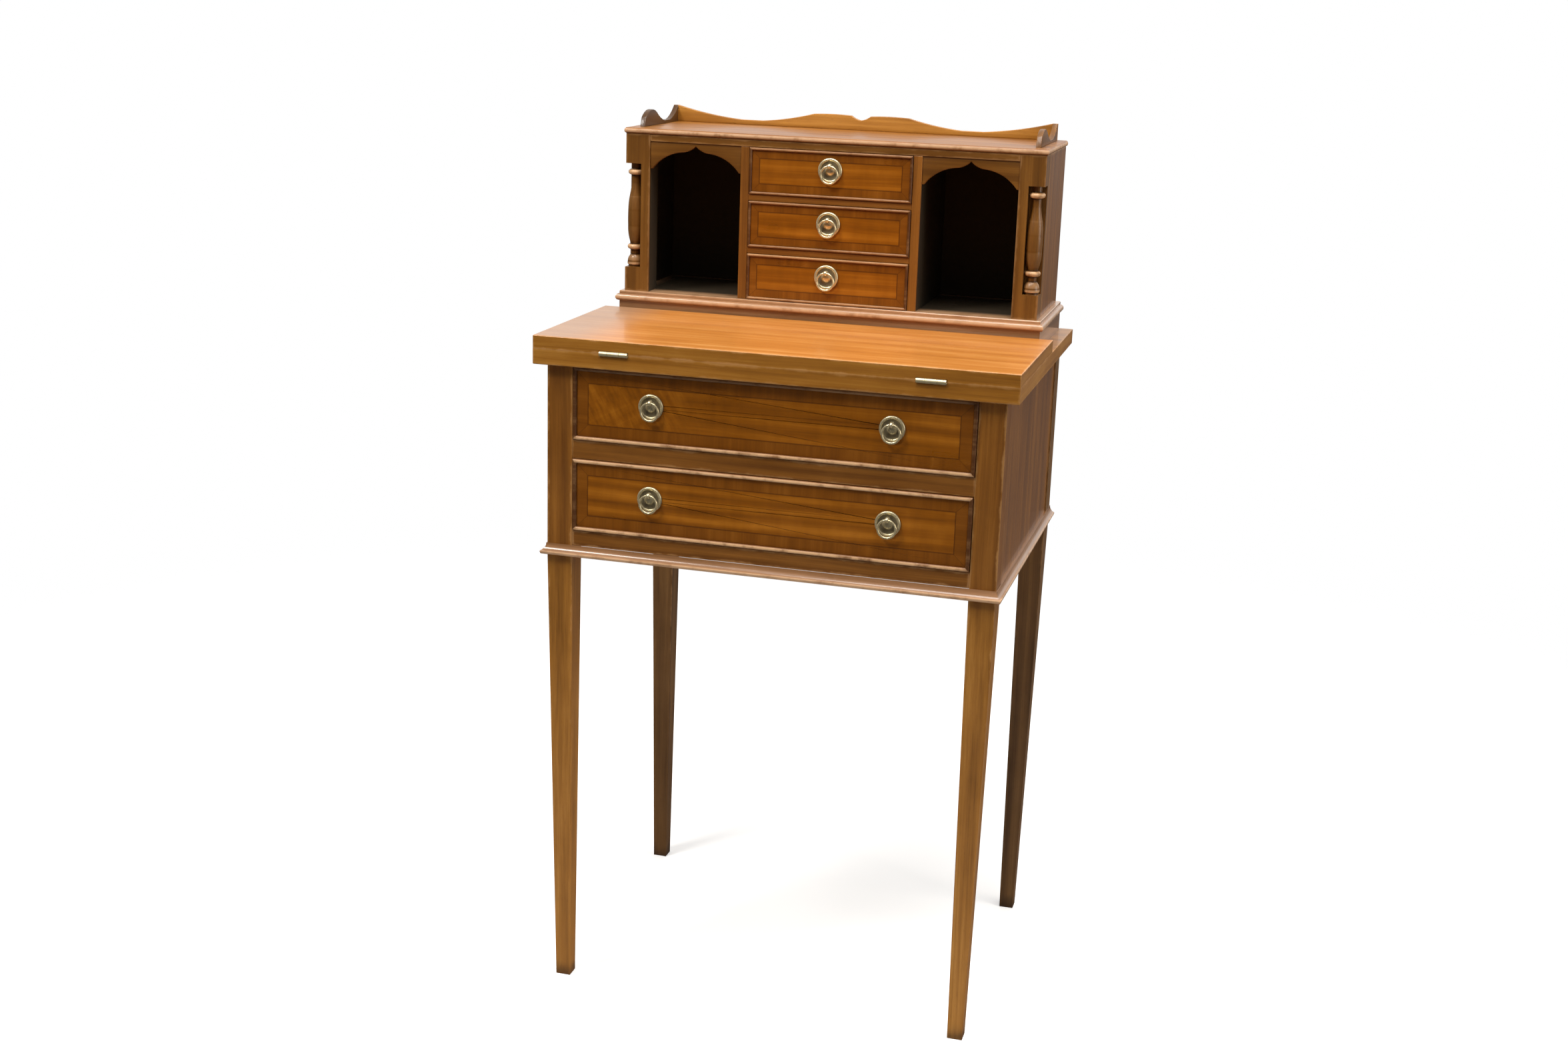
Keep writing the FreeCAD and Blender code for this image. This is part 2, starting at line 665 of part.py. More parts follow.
# Fret arches: half outlines as (distance from the middle, drop below the lintel).
def make_fret(name, middle):
    body = new_body(name, middle, "upper_front + fret_recess + fret_thick", "lintel_foot")
    toe = "(fret_half - fret_toe)"
    outline = [
        ("-fret_half", "0"), ("-fret_half", "-fret_drop"), (f"-{toe}", "-fret_drop"),
        ("-fret_ogee", "-fret_shoulder", "fret_drop * 0.15"),
        ("0", "-fret_tip", "-fret_ogee * 0.1"),
        ("fret_ogee", "-fret_shoulder", "-fret_ogee * 0.1"),
        (toe, "-fret_drop", "fret_drop * 0.15"),
        ("fret_half", "-fret_drop"), ("fret_half", "0"),
    ]
    pad(body, name + "_board", "XZ_Plane", outline, "fret_thick")
    return body


group("fret_arches", [make_fret("fret_left", "-fret_middle"), make_fret("fret_right", "fret_middle")])

cap = new_body("top_board")
pad(cap, "top_board_plank", "XY_Plane",
    rectangle("-cap_half", "upper_front - cap_reach", "cap_half", "upper_back"), "cap_thick",
    lift="upper_top")
rounded(cap, "top_board_nose", "cap_thick * 0.42",
        lambda edge: (flat_at(edge, "z", "upper_top") or flat_at(edge, "z", "cap_top"))
        and not flat_at(edge, "y", "upper_back"))
keep(cap, "top_board")

# Gallery: the back board rises in two humps with a dip between them and sweeps up
# to its ends; each side piece has a round lobe in front and sweeps up to the back.
def mirrored(points):
    """A right half outline that ends on the middle, with its mirror image after it."""
    whole = list(points)
    for number in range(len(points) - 2, -1, -1):
        sag = points[number + 1][2:]
        whole.append((f"-({points[number][0]})", points[number][1]) + sag)
    return whole


gallery = new_body("gallery_back", "0", "gallery_back", "cap_top")
pad(gallery, "gallery_back_board", "XZ_Plane", mirrored([
    ("gallery_half", "0"),
    ("gallery_half", "gallery_high"),
    ("gallery_half * 0.975", "gallery_high"),
    ("gallery_half * 0.63", "gallery_low", "gallery_high * 0.1"),
    ("gallery_half * 0.52", "gallery_low"),
    ("gallery_half * 0.25", "gallery_high * 0.87", "gallery_high * 0.08"),
    ("gallery_half * 0.05", "gallery_high * 0.87", "-gallery_high * 0.04"),
    ("0", "gallery_dip", "gallery_high * 0.04"),
]), "gallery_thick")
keep(gallery, "gallery_back")


def make_return(name, place):
    """A side piece of the gallery, from its front end back to the back board."""
    body = new_body(name, place, "gallery_front", "cap_top")
    pad(body, name + "_board", "YZ_Plane", [
        ("gallery_run * 0.02", "0"),
        ("gallery_run", "0"),
        ("gallery_run", "gallery_high"),
        ("gallery_run * 0.75", "gallery_low * 0.7", "gallery_high * 0.13"),
        ("gallery_run * 0.6", "gallery_low * 0.7"),
        ("gallery_run * 0.38", "gallery_high * 0.72", "gallery_high * 0.07"),
        ("gallery_run * 0.05", "gallery_high * 0.55", "-gallery_high * 0.34"),
    ], "gallery_thick")
    return body


group("gallery_returns", [make_return("return_left", "-gallery_half"),
                          make_return("return_right", "gallery_half - gallery_thick")])


# ------------------------------------------------------------------------ drawers
OUT_OF_FACE = Rotation(Vector(1, 0, 0), 90)     # a body's own Z points out of a drawer's face


def make_comb(name, cut, side, foot, count, root, way, reach):
    """The dovetails on one end of a drawer side, with a strip of the side under them.

    They start at the root, point along way and widen by their slope.
    """
    top = f"({cut['head']} - {cut['drop']})"
    pitch = f"(({top} - {foot}) / {count})"
    wide = f"({pitch} * tail_share / 2)"
    body = new_body(name, f"{cut['half']} - {cut['lining']}" if side > 0 else f"-{cut['half']}")
    strip, end = f"{root} - {way} * tail_strip", f"{root} + {way} * {reach}"
    outline = [(strip, foot), (root, foot)]
    for number in range(count):
        middle = f"{foot} + {pitch} * {number + 0.5}"
        narrow = f"({wide} - {reach} / tail_slope)"
        outline += [(root, f"{middle} - {narrow}"), (end, f"{middle} - {wide}"),
                    (end, f"{middle} + {wide}"), (root, f"{middle} + {narrow}")]
    pad(body, name + "_tails", "YZ_Plane", outline + [(root, top), (strip, top)], cut["lining"])
    return body


def make_combs(name, cut):
    """The combs of dovetails at the front and the back of both sides."""
    lap_root = f"({cut['face']} + {cut['thick']})"
    back_root = f"({cut['face']} + {cut['length']} - {cut['lining']})"
    back_foot = f"({cut['floor']} + {cut['lift']} + {cut['base']})"
    return {hand: (make_comb(f"{name}_lap_{hand}", cut, side, cut["floor"], cut["tails"], lap_root, -1,
                             cut["tail_reach"]),
                   make_comb(f"{name}_rear_{hand}", cut, side, back_foot, cut["tails"], back_root, 1,
                             cut["lining"]))
            for hand, side in HANDS}


def make_front(name, cut, holes, combs):
    """A drawer front: let back round the edge for the cockbead, with sockets for the dovetails."""
    rear = board(name + "_rear", (f"-{cut['half']}", cut["half"]),
                 (f"{cut['face']} + {cut['bead_depth']}", f"{cut['face']} + {cut['thick']}"),
                 (cut["foot"], cut["head"]))
    field = board(name + "_field", (f"-{cut['half']} + {cut['bead']}", f"{cut['half']} - {cut['bead']}"),
                  (cut["face"], f"{cut['face']} + {cut['bead_depth']}"),
                  (f"{cut['foot']} + {cut['bead']}", f"{cut['head']} - {cut['bead']}"))
    bores = [rod(f"{name}_bore{n}", "y", "bolt_dia / 2 + bolt_play", cut["thick"], x, cut["face"], z)
             for n, (x, z) in enumerate(holes)]
    sockets = [lap for lap, _ in combs.values()]
    return less(name + "_piece", fused(name + "_blank", [rear, field]), bores + sockets)


def make_bead(name, cut):
    """The cockbead: a mitred frame with a rounded nose, proud of the face."""
    body = new_body(name, "0", f"{cut['face']} + {cut['bead_depth']}", "0")
    depth = f"{cut['bead_depth']} + {cut['proud']}"
    outer = rectangle(f"-{cut['half']}", cut["foot"], cut["half"], cut["head"])
    inner = rectangle(f"-{cut['half']} + {cut['bead']}", f"{cut['foot']} + {cut['bead']}",
                      f"{cut['half']} - {cut['bead']}", f"{cut['head']} - {cut['bead']}")
    pad(body, name + "_outer", "XZ_Plane", outer, depth)
    pocket(body, name + "_inner", "XZ_Plane", inner, f"{depth} + 1", back=True)
    rounded(body, name + "_nose", f"{cut['bead']} * 0.46", lambda edge: flat_at(edge, "y", f"-({depth})"))
    return body


def make_lining(name, cut, side, combs):
    """A drawer side: dovetailed at both ends, heeled under the back, grooved for the bottom."""
    inside = f"{cut['half']} - {cut['lining']}"
    across = sided(side, inside, cut["half"])
    start, end = f"{cut['face']} + {cut['thick']}", f"{cut['face']} + {cut['length']}"
    base_top = f"{cut['floor']} + {cut['lift']} + {cut['base']}"
    plain = board(f"{name}_plain", across, (start, f"{end} - {cut['lining']}"),
                  (cut["floor"], f"{cut['head']} - {cut['drop']}"))
    heel = board(f"{name}_heel", across, (f"{end} - {cut['lining']}", end), (cut["floor"], base_top))
    groove = board(f"{name}_groove", sided(side, inside, f"{inside} + {cut['groove']}"), (start, end),
                   (f"{cut['floor']} + {cut['lift']}", base_top))
    return less(name, fused(f"{name}_blank", [plain, heel, *combs]), [groove])


def make_box(name, cut, combs):
    """Both sides, the back and the bottom of a drawer."""
    sides = [make_lining(f"{name}_side_{hand}", cut, side, combs[hand]) for hand, side in HANDS]
    inside = f"({cut['half']} - {cut['lining']})"
    rear = f"({cut['face']} + {cut['length']})"
    plain = board(name + "_back_board", (f"-{cut['half']}", cut["half"]), (f"{rear} - {cut['lining']}", rear),
                  (f"{cut['floor']} + {cut['lift']} + {cut['base']}", f"{cut['head']} - {cut['drop']}"))
    back = less(name + "_back_piece", plain, [rear_comb for _, rear_comb in combs.values()])
    base = board(name + "_base_board",
                 (f"-({inside} + {cut['groove']} - base_play)", f"{inside} + {cut['groove']} - base_play"),
                 (f"{cut['face']} + {cut['thick']}", rear),
                 (f"{cut['floor']} + {cut['lift']}", f"{cut['floor']} + {cut['lift']} + {cut['base']}"))
    return sides, back, base


def make_rose(name, cut, x, z):
    """A rose with a raised rim, a boss and the stud of the ring's eye, and its bolt and nut."""
    plate = new_body(name + "_plate", x, cut["face"], z, OUT_OF_FACE)
    bolt_end = f"-({cut['thick']} + nut_thick * 1.4)"
    turned(plate, name + "_profile", [
        ("0", bolt_end),
        ("bolt_dia / 2", bolt_end),
        ("bolt_dia / 2", "0"),
        ("rose_dia / 2", "0"),
        ("rose_dia / 2", "rose_edge"),
        ("rose_dia / 2 - rim_width", "rose_edge", "-(rose_rim - rose_edge)"),
        ("boss_dia / 2", "rose_dish", "rose_dish * 0.15"),
        ("boss_dia * 0.08", "boss_height", "-boss_height * 0.15"),
        ("0", "boss_height"),
    ])
    stud = new_body(name + "_stud", x, cut["face"], f"{z} + eye_lift", OUT_OF_FACE)
    turned(stud, name + "_stud_profile", [
        ("0", "0"),
        ("stud_dia / 2", "0"),
        ("stud_dia / 2", "eye_reach"),
        ("stud_dia * 0.12", "eye_reach + stud_dia / 2", "-stud_dia * 0.1"),
        ("0", "eye_reach + stud_dia / 2"),
    ])
    eye = rod(name + "_eye", "x", "ring_wire / 2 + eye_play", "stud_dia * 2", f"{x} - stud_dia",
              f"{cut['face']} - eye_reach", f"{z} + eye_lift")
    nut = doc.addObject("Part::Prism", name + "_nut_blank")
    nut.Polygon = 6
    nut.Placement = Placement(Vector(), Rotation(Vector(1, 0, 0), -90))
    bind(nut, "Circumradius", "nut_side / 2")
    bind(nut, "Height", "nut_thick")
    for base, place in (("x", x), ("y", f"{cut['face']} + {cut['thick']}"), ("z", z)):
        bind(nut, f"Placement.Base.{base}", place)
    thread = rod(name + "_thread", "y", "bolt_dia / 2 + pin_play", "nut_thick", x,
                 f"{cut['face']} + {cut['thick']}", z)
    return [less(name + "_rose", fused(name + "_solid", [plate, stud]), [eye]),
            less(name + "_nut", nut, [thread])]


def make_ring(label, cut, x, z):
    ring = doc.addObject("Part::Torus", label)
    ring.Placement = Placement(Vector(), OUT_OF_FACE)
    bind(ring, "Radius1", "ring_radius")
    bind(ring, "Radius2", "ring_wire / 2")
    for base, place in (("x", x), ("y", f"{cut['face']} - eye_reach"),
                        ("z", f"{z} + eye_lift - ring_radius")):
        bind(ring, f"Placement.Base.{base}", place)
    return keep(ring, label)


def long_cut(floor):
    return {
        "half": "(post_in - slack)", "floor": f"({floor})", "face": "case_front",
        "foot": f"({floor} + slack)", "head": f"({floor} + opening_height - slack)",
        "thick": "front_thick", "bead": "bead_width", "proud": "bead_proud", "bead_depth": "bead_depth",
        "lining": "lining_thick", "length": "drawer_length", "drop": "lining_drop",
        "base": "base_thick", "lift": "base_lift", "groove": "groove_depth",
        "tails": 4, "tail_reach": "tail_reach",
    }


def small_cut(floor):
    return {
        "half": "(wall_in - small_slack)", "floor": f"({floor})", "face": "upper_front",
        "foot": f"({floor} + small_slack)", "head": f"({floor} + small_opening - small_slack)",
        "thick": "small_front", "bead": "small_bead", "proud": "small_bead_proud",
        "bead_depth": "small_bead_depth", "lining": "small_lining", "length": "small_length",
        "drop": "small_drop", "base": "small_base", "lift": "small_lift", "groove": "small_groove",
        "tails": 3, "tail_reach": "small_tail_reach",
    }


for word, floor in (("upper", "mid_rail_top"), ("lower", "low_rail_top")):
    name = f"{word}_drawer"
    cut = long_cut(floor)
    height = f"({floor} + opening_height / 2 + pull_lift)"
    places = [("left", "-pull_spread / 2"), ("right", "pull_spread / 2")]
    combs = make_combs(name, cut)
    keep(make_front(name + "_front", cut, [(x, height) for _, x in places], combs), name + "_front")
    keep(make_bead(name + "_bead", cut), name + "_cockbead")
    sides, back, base = make_box(name, cut, combs)
    group(name + "_sides", sides)
    keep(back, name + "_back")
    keep(base, name + "_bottom")
    group(name + "_pull_roses", [piece for hand, x in places
                                 for piece in make_rose(f"{name}_{hand}", cut, x, height)])
    for hand, x in places:
        make_ring(f"{name}_ring_{hand}", cut, x, height)

for number, word in ((2, "top"), (1, "middle"), (0, "bottom")):
    name = f"small_drawer_{word}"
    cut = small_cut(tier(number))
    height = f"({tier(number)} + small_opening / 2 + small_pull_lift)"
    combs = make_combs(name, cut)
    keep(make_front(name + "_front", cut, [("0", height)], combs), name + "_front")
    keep(make_bead(name + "_bead", cut), name + "_cockbead")
    sides, back, base = make_box(name, cut, combs)
    group(name + "_box", sides + [back, base])
    group(name + "_pull_rose", make_rose(name, cut, "0", height))
    make_ring(f"{name}_ring", cut, "0", height)

# --------------------------------------------------------------- check and export
doc.recompute()
for item in doc.Objects:
    if "Invalid" in item.State or "Error" in item.State:
        raise RuntimeError(f"{item.Name} failed: {item.State}")
os.makedirs("parts", exist_ok=True)
for label, item in NODES.items():
    if item.Shape.isNull() or not item.Shape.isValid():
        raise RuntimeError(f"{label} has no valid shape")
    item.Shape.exportStep(f"parts/{label}.step")
print(len(NODES), "sub-parts")
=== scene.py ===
# %% [markdown]
# # A bonheur du jour, dressed in Blender
# This small writing desk stands on four tapered legs. Its case holds two long drawers, a
# hinged leaf lies folded on top, and behind the leaf rises a little superstructure with
# pigeonholes, small drawers, turned columns and a shaped gallery. The construction is already
# drawn and packed, so Blender could either model it all again or start from that frame. We
# start from the frame: every board keeps its true size and its joint, and the work goes into
# arrises, turnings, mouldings and above all the wood and brass.

# %% The frame
import itertools
import json
import math
from collections import namedtuple
from functools import partialmethod

import bpy
import numpy as np
from mathutils import Euler, Matrix, Vector


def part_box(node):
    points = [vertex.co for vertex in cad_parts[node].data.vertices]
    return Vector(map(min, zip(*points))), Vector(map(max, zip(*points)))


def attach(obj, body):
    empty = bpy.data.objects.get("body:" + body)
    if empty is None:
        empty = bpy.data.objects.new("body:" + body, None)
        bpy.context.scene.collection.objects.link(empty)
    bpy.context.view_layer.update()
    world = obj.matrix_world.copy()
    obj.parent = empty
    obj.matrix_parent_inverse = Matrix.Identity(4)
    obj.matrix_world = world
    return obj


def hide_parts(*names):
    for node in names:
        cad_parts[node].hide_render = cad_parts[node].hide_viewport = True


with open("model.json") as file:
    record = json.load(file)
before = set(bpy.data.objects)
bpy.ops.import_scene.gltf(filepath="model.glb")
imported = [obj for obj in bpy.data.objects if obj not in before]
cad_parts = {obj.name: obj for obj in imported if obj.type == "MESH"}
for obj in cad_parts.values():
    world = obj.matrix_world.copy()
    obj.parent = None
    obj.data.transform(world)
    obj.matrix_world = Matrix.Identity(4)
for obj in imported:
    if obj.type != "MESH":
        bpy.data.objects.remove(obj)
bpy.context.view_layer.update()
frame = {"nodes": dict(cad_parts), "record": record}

BODY_OF = {n: b for b, names in frame["record"]["behaviour"]["bodies"].items() for n in names}

# %% [markdown]
# ## How the pictures show colour
# A renderer works in light, and a view transform turns that light into a picture. The default
# one rolls bright colours off towards grey, which is kind to sunlight but dulls polished wood.
# A studio picture of one object keeps its own colours better with the plain transform.

# %% Plain colours
view = bpy.context.scene.view_settings
view.view_transform, view.look = "Standard", "None"
print("view transform", view.view_transform)

# %% [markdown]
# ## The camera
# The desk is seen from its right and a little above, through a lens of normal length. A camera
# could be aimed with a Track To constraint, but then its roll can't be set freely. Here three
# turns are put together instead. A camera looks down its own minus Z, so it is first rolled
# about Z, then tipped up from looking at the floor, and last swung round to its azimuth.

# %% The camera's place and aim
EYE = (0.55412, -2.17193, 1.13500)
AZIMUTH, ELEVATION, ROLL = np.radians([15.0703, -15.1428, -1.8991])
SENSOR_MM, PICTURE_PX, FOCAL_PX = 36.0, 2352.0, 3004.138
LENS_MM = FOCAL_PX * SENSOR_MM / PICTURE_PX


def in_scene(name, data):
    """A new object in the scene."""
    thing = bpy.data.objects.new(name, data)
    bpy.context.scene.collection.objects.link(thing)
    return thing


camera = in_scene("studio_camera", bpy.data.cameras.new("studio_camera"))
turn = Euler((math.pi / 2 + ELEVATION, 0, AZIMUTH)).to_matrix() @ Matrix.Rotation(-ROLL, 3, "Z")
camera.matrix_world = Matrix.Translation(EYE) @ turn.to_4x4()
camera.data.sensor_width, camera.data.lens = SENSOR_MM, LENS_MM
bpy.context.scene.camera = camera
print("lens", round(LENS_MM, 2), "mm")

# %% [markdown]
# ## Formulas as shader nodes
# A material's pattern is a formula, and Blender writes it as nodes joined by links. In a plain
# script each node takes three or four lines, in which the formula gets lost. So a small class
# wraps the outputs of nodes: a plus, a minus or a times between two of them adds the Math node
# for it, and what follows can be read as formulas.

# %% Outputs that can be calculated with
def fill(node, **inputs):
    """Set a node's inputs, by name or by number as _0. Outputs are linked; the rest are values."""
    for key, value in inputs.items():
        socket = node.inputs[int(key[1:]) if key[0] == "_" else key.replace("_", " ")]
        value = getattr(value, "socket", value)
        if isinstance(value, bpy.types.NodeSocket):
            node.id_data.links.new(value, socket)
        else:
            socket.default_value = value


def put(tree, kind, settings=None, **inputs):
    """Add a node with its settings and inputs."""
    made = tree.nodes.new("ShaderNode" + kind)
    for key, value in (settings or {}).items():
        setattr(made, key, value)
    fill(made, **inputs)
    return made


class Field:
    """A node's output: a number or a vector at each point of a surface."""
    __array_ufunc__ = None  # a numpy number on the left leaves the sum to this class

    def __init__(self, socket):
        self.socket, self.tree = socket, socket.id_data
        self.kind = "Math" if socket.type == "VALUE" else "VectorMath"

    def math(self, operation, *others):
        """One Math node, or one Vector Math node where this is a vector or a colour."""
        made = put(self.tree, self.kind, {"operation": operation}, _0=self,
                   **{f"_{k}": v for k, v in enumerate(others, 1)})
        return Field(made.outputs[1 if operation == "LENGTH" else 0])

    __add__ = __radd__ = partialmethod(math, "ADD")
    __mul__ = __rmul__ = partialmethod(math, "MULTIPLY")
    __sub__ = partialmethod(math, "SUBTRACT")
    __truediv__ = partialmethod(math, "DIVIDE")
    __lt__ = partialmethod(math, "LESS_THAN")
    __gt__ = partialmethod(math, "GREATER_THAN")
    __abs__ = partialmethod(math, "ABSOLUTE")
    lesser = partialmethod(math, "MINIMUM")
    greater = partialmethod(math, "MAXIMUM")
    length = partialmethod(math, "LENGTH")
    sine = partialmethod(math, "SINE")

    def __rsub__(self, other):
        return self * -1.0 + other

    def clamped(self):
        """Held between 0 and 1 by the node that gives it."""
        self.socket.node.use_clamp = True
        return self

    def parts(self):
        """The x, y and z of a vector."""
        return [Field(s) for s in put(self.tree, "SeparateXYZ", Vector=self).outputs]


print("outputs can be calculated with")


# %% Noise, steps, mixtures, groups and materials
def noise(place, scale=1.0, detail=3.0, rough=0.55, output=0):
    """Noise from 0 to 1; output 1 is three at once. A small factor on the place's x draws it out
    along x."""
    return Field(put(place.tree, "TexNoise", Vector=place, Scale=scale, Detail=detail,
                     Roughness=rough).outputs[output])


def step(value, start, end, kind="SMOOTHSTEP"):
    """0 before start, 1 after end, and an S between them, or a straight line for LINEAR."""
    return Field(put(value.tree, "MapRange", {"interpolation_type": kind}, Value=value,
                     From_Min=start, From_Max=end).outputs[0])


def blended(share, first, second):
    """Two colours mixed: first where the share is 0, second where it is 1."""
    return Field(put(share.tree, "Mix", {"data_type": "RGBA"}, _0=share, _6=first,
                     _7=second).outputs[2])


def camera_ray(tree):
    return Field(put(tree, "LightPath").outputs["Is Camera Ray"])


def new_group(name, takes, *gives):
    """A node group. takes is {name: default}: three numbers make a vector, four a colour. gives are
    names, with Color a colour. Back come the tree, the fields it takes and the node to fill."""
    tree = bpy.data.node_groups.new(name, "ShaderNodeTree")
    for label, value in takes.items():
        kind = "NodeSocket" + {1: "Float", 3: "Vector", 4: "Color"}[np.size(value)]
        tree.interface.new_socket(label, in_out="INPUT", socket_type=kind).default_value = value
    for label in gives:
        kind = "NodeSocketColor" if label == "Color" else "NodeSocketFloat"
        tree.interface.new_socket(label, in_out="OUTPUT", socket_type=kind)
    take = {s.name: Field(s) for s in tree.nodes.new("NodeGroupInput").outputs if s.name}
    return tree, take, tree.nodes.new("NodeGroupOutput")


def use(group, place, **inputs):
    """A group read at a place: its outputs by name."""
    made = put(place.tree, "Group", {"node_tree": group}, Vector=place, **inputs)
    return {s.name: Field(s) for s in made.outputs}


def new_material(name):
    """A material, its shader, and the place on the object that it colours."""
    material = bpy.data.materials.new(name)
    material.use_nodes = True
    place = put(material.node_tree, "TexCoord").outputs["Object"]
    return material, material.node_tree.nodes["Principled BSDF"], Field(place)


print("node helpers ready")

# %% [markdown]
# ## The floor and the light
# Polished wood shows its surroundings, so the studio matters as much as the wood. One large
# soft light hangs over the desk and makes the top surfaces the brightest. A smaller one stands
# high in front, because the fronts would otherwise have only what the room sends back, and a
# warm one at the right brings out the side. The world is pale behind the desk, dim on the
# viewer's side and dimmer still below the horizon, and what the camera itself sees is plain
# white. The floor thins out to that white with distance and glows a little for the camera, so
# no horizon shows. It keeps out of the polish's reflections, where a white floor would lie
# like a veil over dark wood.

# %% A pale floor
def plain_disc(name, radius, steps=96):
    """Point k is radius * (cos 2 pi k / n, sin 2 pi k / n, 0), and all are closed as one face."""
    turn = np.linspace(0, 2 * np.pi, steps, endpoint=False)
    points = np.stack([np.cos(turn), np.sin(turn), 0 * turn], 1) * radius
    mesh = bpy.data.meshes.new(name)
    mesh.from_pydata(points.tolist(), [], [list(range(steps))])
    return in_scene(name, mesh)


FADES_FROM, FADES_TO, FLOOR_GLOW = 0.6, 1.9, 0.45
floor = plain_disc("studio_floor", 3.0)
paper, shader, place = new_material("floor_paper")
fill(shader, Roughness=0.8, Emission_Color=(1, 1, 1, 1),
     Base_Color=blended(noise(place, 3.0), (0.79, 0.79, 0.785, 1), (0.81, 0.81, 0.81, 1)),
     Alpha=1.0 - step(place.length(), FADES_FROM, FADES_TO),
     Emission_Strength=camera_ray(place.tree) * FLOOR_GLOW)
floor.data.materials.append(paper)
floor.visible_glossy = False
print("floor", round(floor.dimensions.x, 1), "m across")


# %% Three lights
def soft_light(name, place, target, width, depth, watts, colour):
    """A rectangular light at a place, turned to face a target."""
    lamp = bpy.data.lights.new(name, "AREA")
    lamp.shape, lamp.size, lamp.size_y = "RECTANGLE", width, depth
    lamp.energy, lamp.color = watts, colour
    turn = (Vector(target) - Vector(place)).to_track_quat("-Z", "Y").to_matrix()
    in_scene(name, lamp).matrix_world = Matrix.Translation(place) @ turn.to_4x4()


soft_light("overhead", (0.3, -0.4, 2.6), (0, -0.1, 0.7), 1.6, 1.1, 54, (1.0, 0.985, 0.96))
soft_light("front_fill", (-1.6, -1.7, 3.2), (0, 0, 0.6), 0.9, 0.8, 70, (1.0, 0.97, 0.93))
soft_light("right_fill", (3.0, -0.3, 1.3), (0.25, 0, 0.6), 1.4, 1.6, 38, (1.0, 0.94, 0.86))
print("three lights")

# %% The world
world = bpy.data.worlds.new("studio")
bpy.context.scene.world = world
world.use_nodes = True
sky = world.node_tree
sky.nodes.clear()
_, y, z = Field(put(sky, "TexCoord").outputs["Generated"]).parts()
above = step(z, -0.02, 0.12)
backdrop = above * 0.6 + step(z, -0.16, -0.05) * 0.13 + 0.06
glow = step(y, -0.1, 0.9) * backdrop + above * 0.13 + 0.03
room = put(sky, "Background", Color=(1.0, 0.985, 0.965, 1), Strength=glow)
seen = put(sky, "Background", Color=(1, 1, 1, 1), Strength=1.0)
both = put(sky, "MixShader", _0=camera_ray(sky), _1=room.outputs[0], _2=seen.outputs[0])
put(sky, "OutputWorld", Surface=both.outputs[0])
print("world:", len(sky.nodes), "nodes")

# %% [markdown]
# ## Grain
# Mahogany shows streaks many times longer than they are wide, fine lines inside them, short
# dark pores, and here and there a figure where the saw cut across the growth rings. A picture
# of a plank would do, but it repeats and stretches. Noise read in object coordinates never
# repeats, keeps its real scale on every board, and runs over an arris as real grain does. The
# group takes a vector whose X runs along the grain and squeezes the noise across it.

# %% The grain group
# tone = 1/2 + streaks + lines + rings + curl + mottle, each centred on 0; the colour goes from
# dark through middle to light with the tone, and pores darken it further.
GRAIN, take, give = new_group("Mahogany grain", dict(
    Vector=(0, 0, 0), Dark=(0.05, 0.02, 0.01, 1), Middle=(0.2, 0.08, 0.02, 1),
    Light=(0.4, 0.2, 0.06, 1), Streaks=1.0, Figure=0.5, Ripple=0.0, Pores=0.6, Seed=0.0),
    "Color", "Height", "Roughness")
away = put(GRAIN, "VectorMath", {"operation": "SCALE"}, _0=(3.7, 1.13, 2.31), Scale=take["Seed"])
place = take["Vector"] + Field(away.outputs[0])
drift = noise(place * (1.6, 7.0, 7.0), detail=2.0, rough=0.5, output=1)
bent = place + (drift - (0.5, 0.5, 0.5)) * (0.0, 0.022, 0.022)
streak = noise(bent * (2.4, 105, 105), detail=4.0) - 0.5
line = noise(bent * (9, 640, 640)) - 0.5
mottle = noise(bent * (11, 26, 26)) - 0.5
curl = noise(bent * (95, 20, 20), detail=2.0) - 0.5
from_pith = ((bent + (0, 0.02, 0.013)) * (0.09, 1, 1)).length()
ring = (from_pith * 410.0).sine() * 0.5
tone = (streak * 1.9 + line * 0.8) * take["Streaks"] + 0.5
tone = tone + ring * 0.42 * take["Figure"] + curl * 1.3 * take["Ripple"]
tone = (tone + mottle * 0.55).clamped()
colour = blended((tone * 2.0).clamped(), take["Dark"], take["Middle"])
colour = blended((tone * 2.0 - 1.0).clamped(), colour, take["Light"])
pore = step(noise(bent * (130, 2100, 2100), detail=1.0), 0.6, 0.72) * take["Pores"]
fill(give, Color=blended(pore * 0.55, colour, take["Dark"]), Height=line * 0.5 - pore,
     Roughness=mottle * 0.16 + pore * 0.25)
print("grain group:", len(GRAIN.nodes), "nodes")

# %% [markdown]
# ## Worn edges
# Two centuries of hands rub the polish thin along every edge and leave it pale, while dust and
# old wax darken what lies beside it. On a straight board the distance to the nearest edge is
# the middle one of its three distances to the faces of its box, because on a face the smallest
# is nought. That is a few Math nodes and no baking. Noise breaks the line up, since no edge
# wears evenly.

# %% The edge group
BOX = dict(Vector=(0, 0, 0), Low=(0, 0, 0), High=(1, 1, 1))


def depths(take):
    """How deep a place lies inside a box from its nearer face, along x, y and z."""
    return (take["Vector"] - take["Low"]).lesser(take["High"] - take["Vector"]).parts()


# near = the middle one of the depths; the mask falls from 1 at the edge to 0 at the width, and
# noise moves that line about.
EDGES, take, give = new_group("Rubbed edges", dict(BOX, Width=0.003), "Mask")
a, b, c = depths(take)
near = a.lesser(b).greater(a.greater(b).lesser(c))
ragged = noise(take["Vector"], 55.0, 4.0) - 0.5
fill(give, Mask=1.0 - step(ragged * 3.2 + near / take["Width"], 0.0, 1.0))
print("edge group:", len(EDGES.nodes), "nodes")

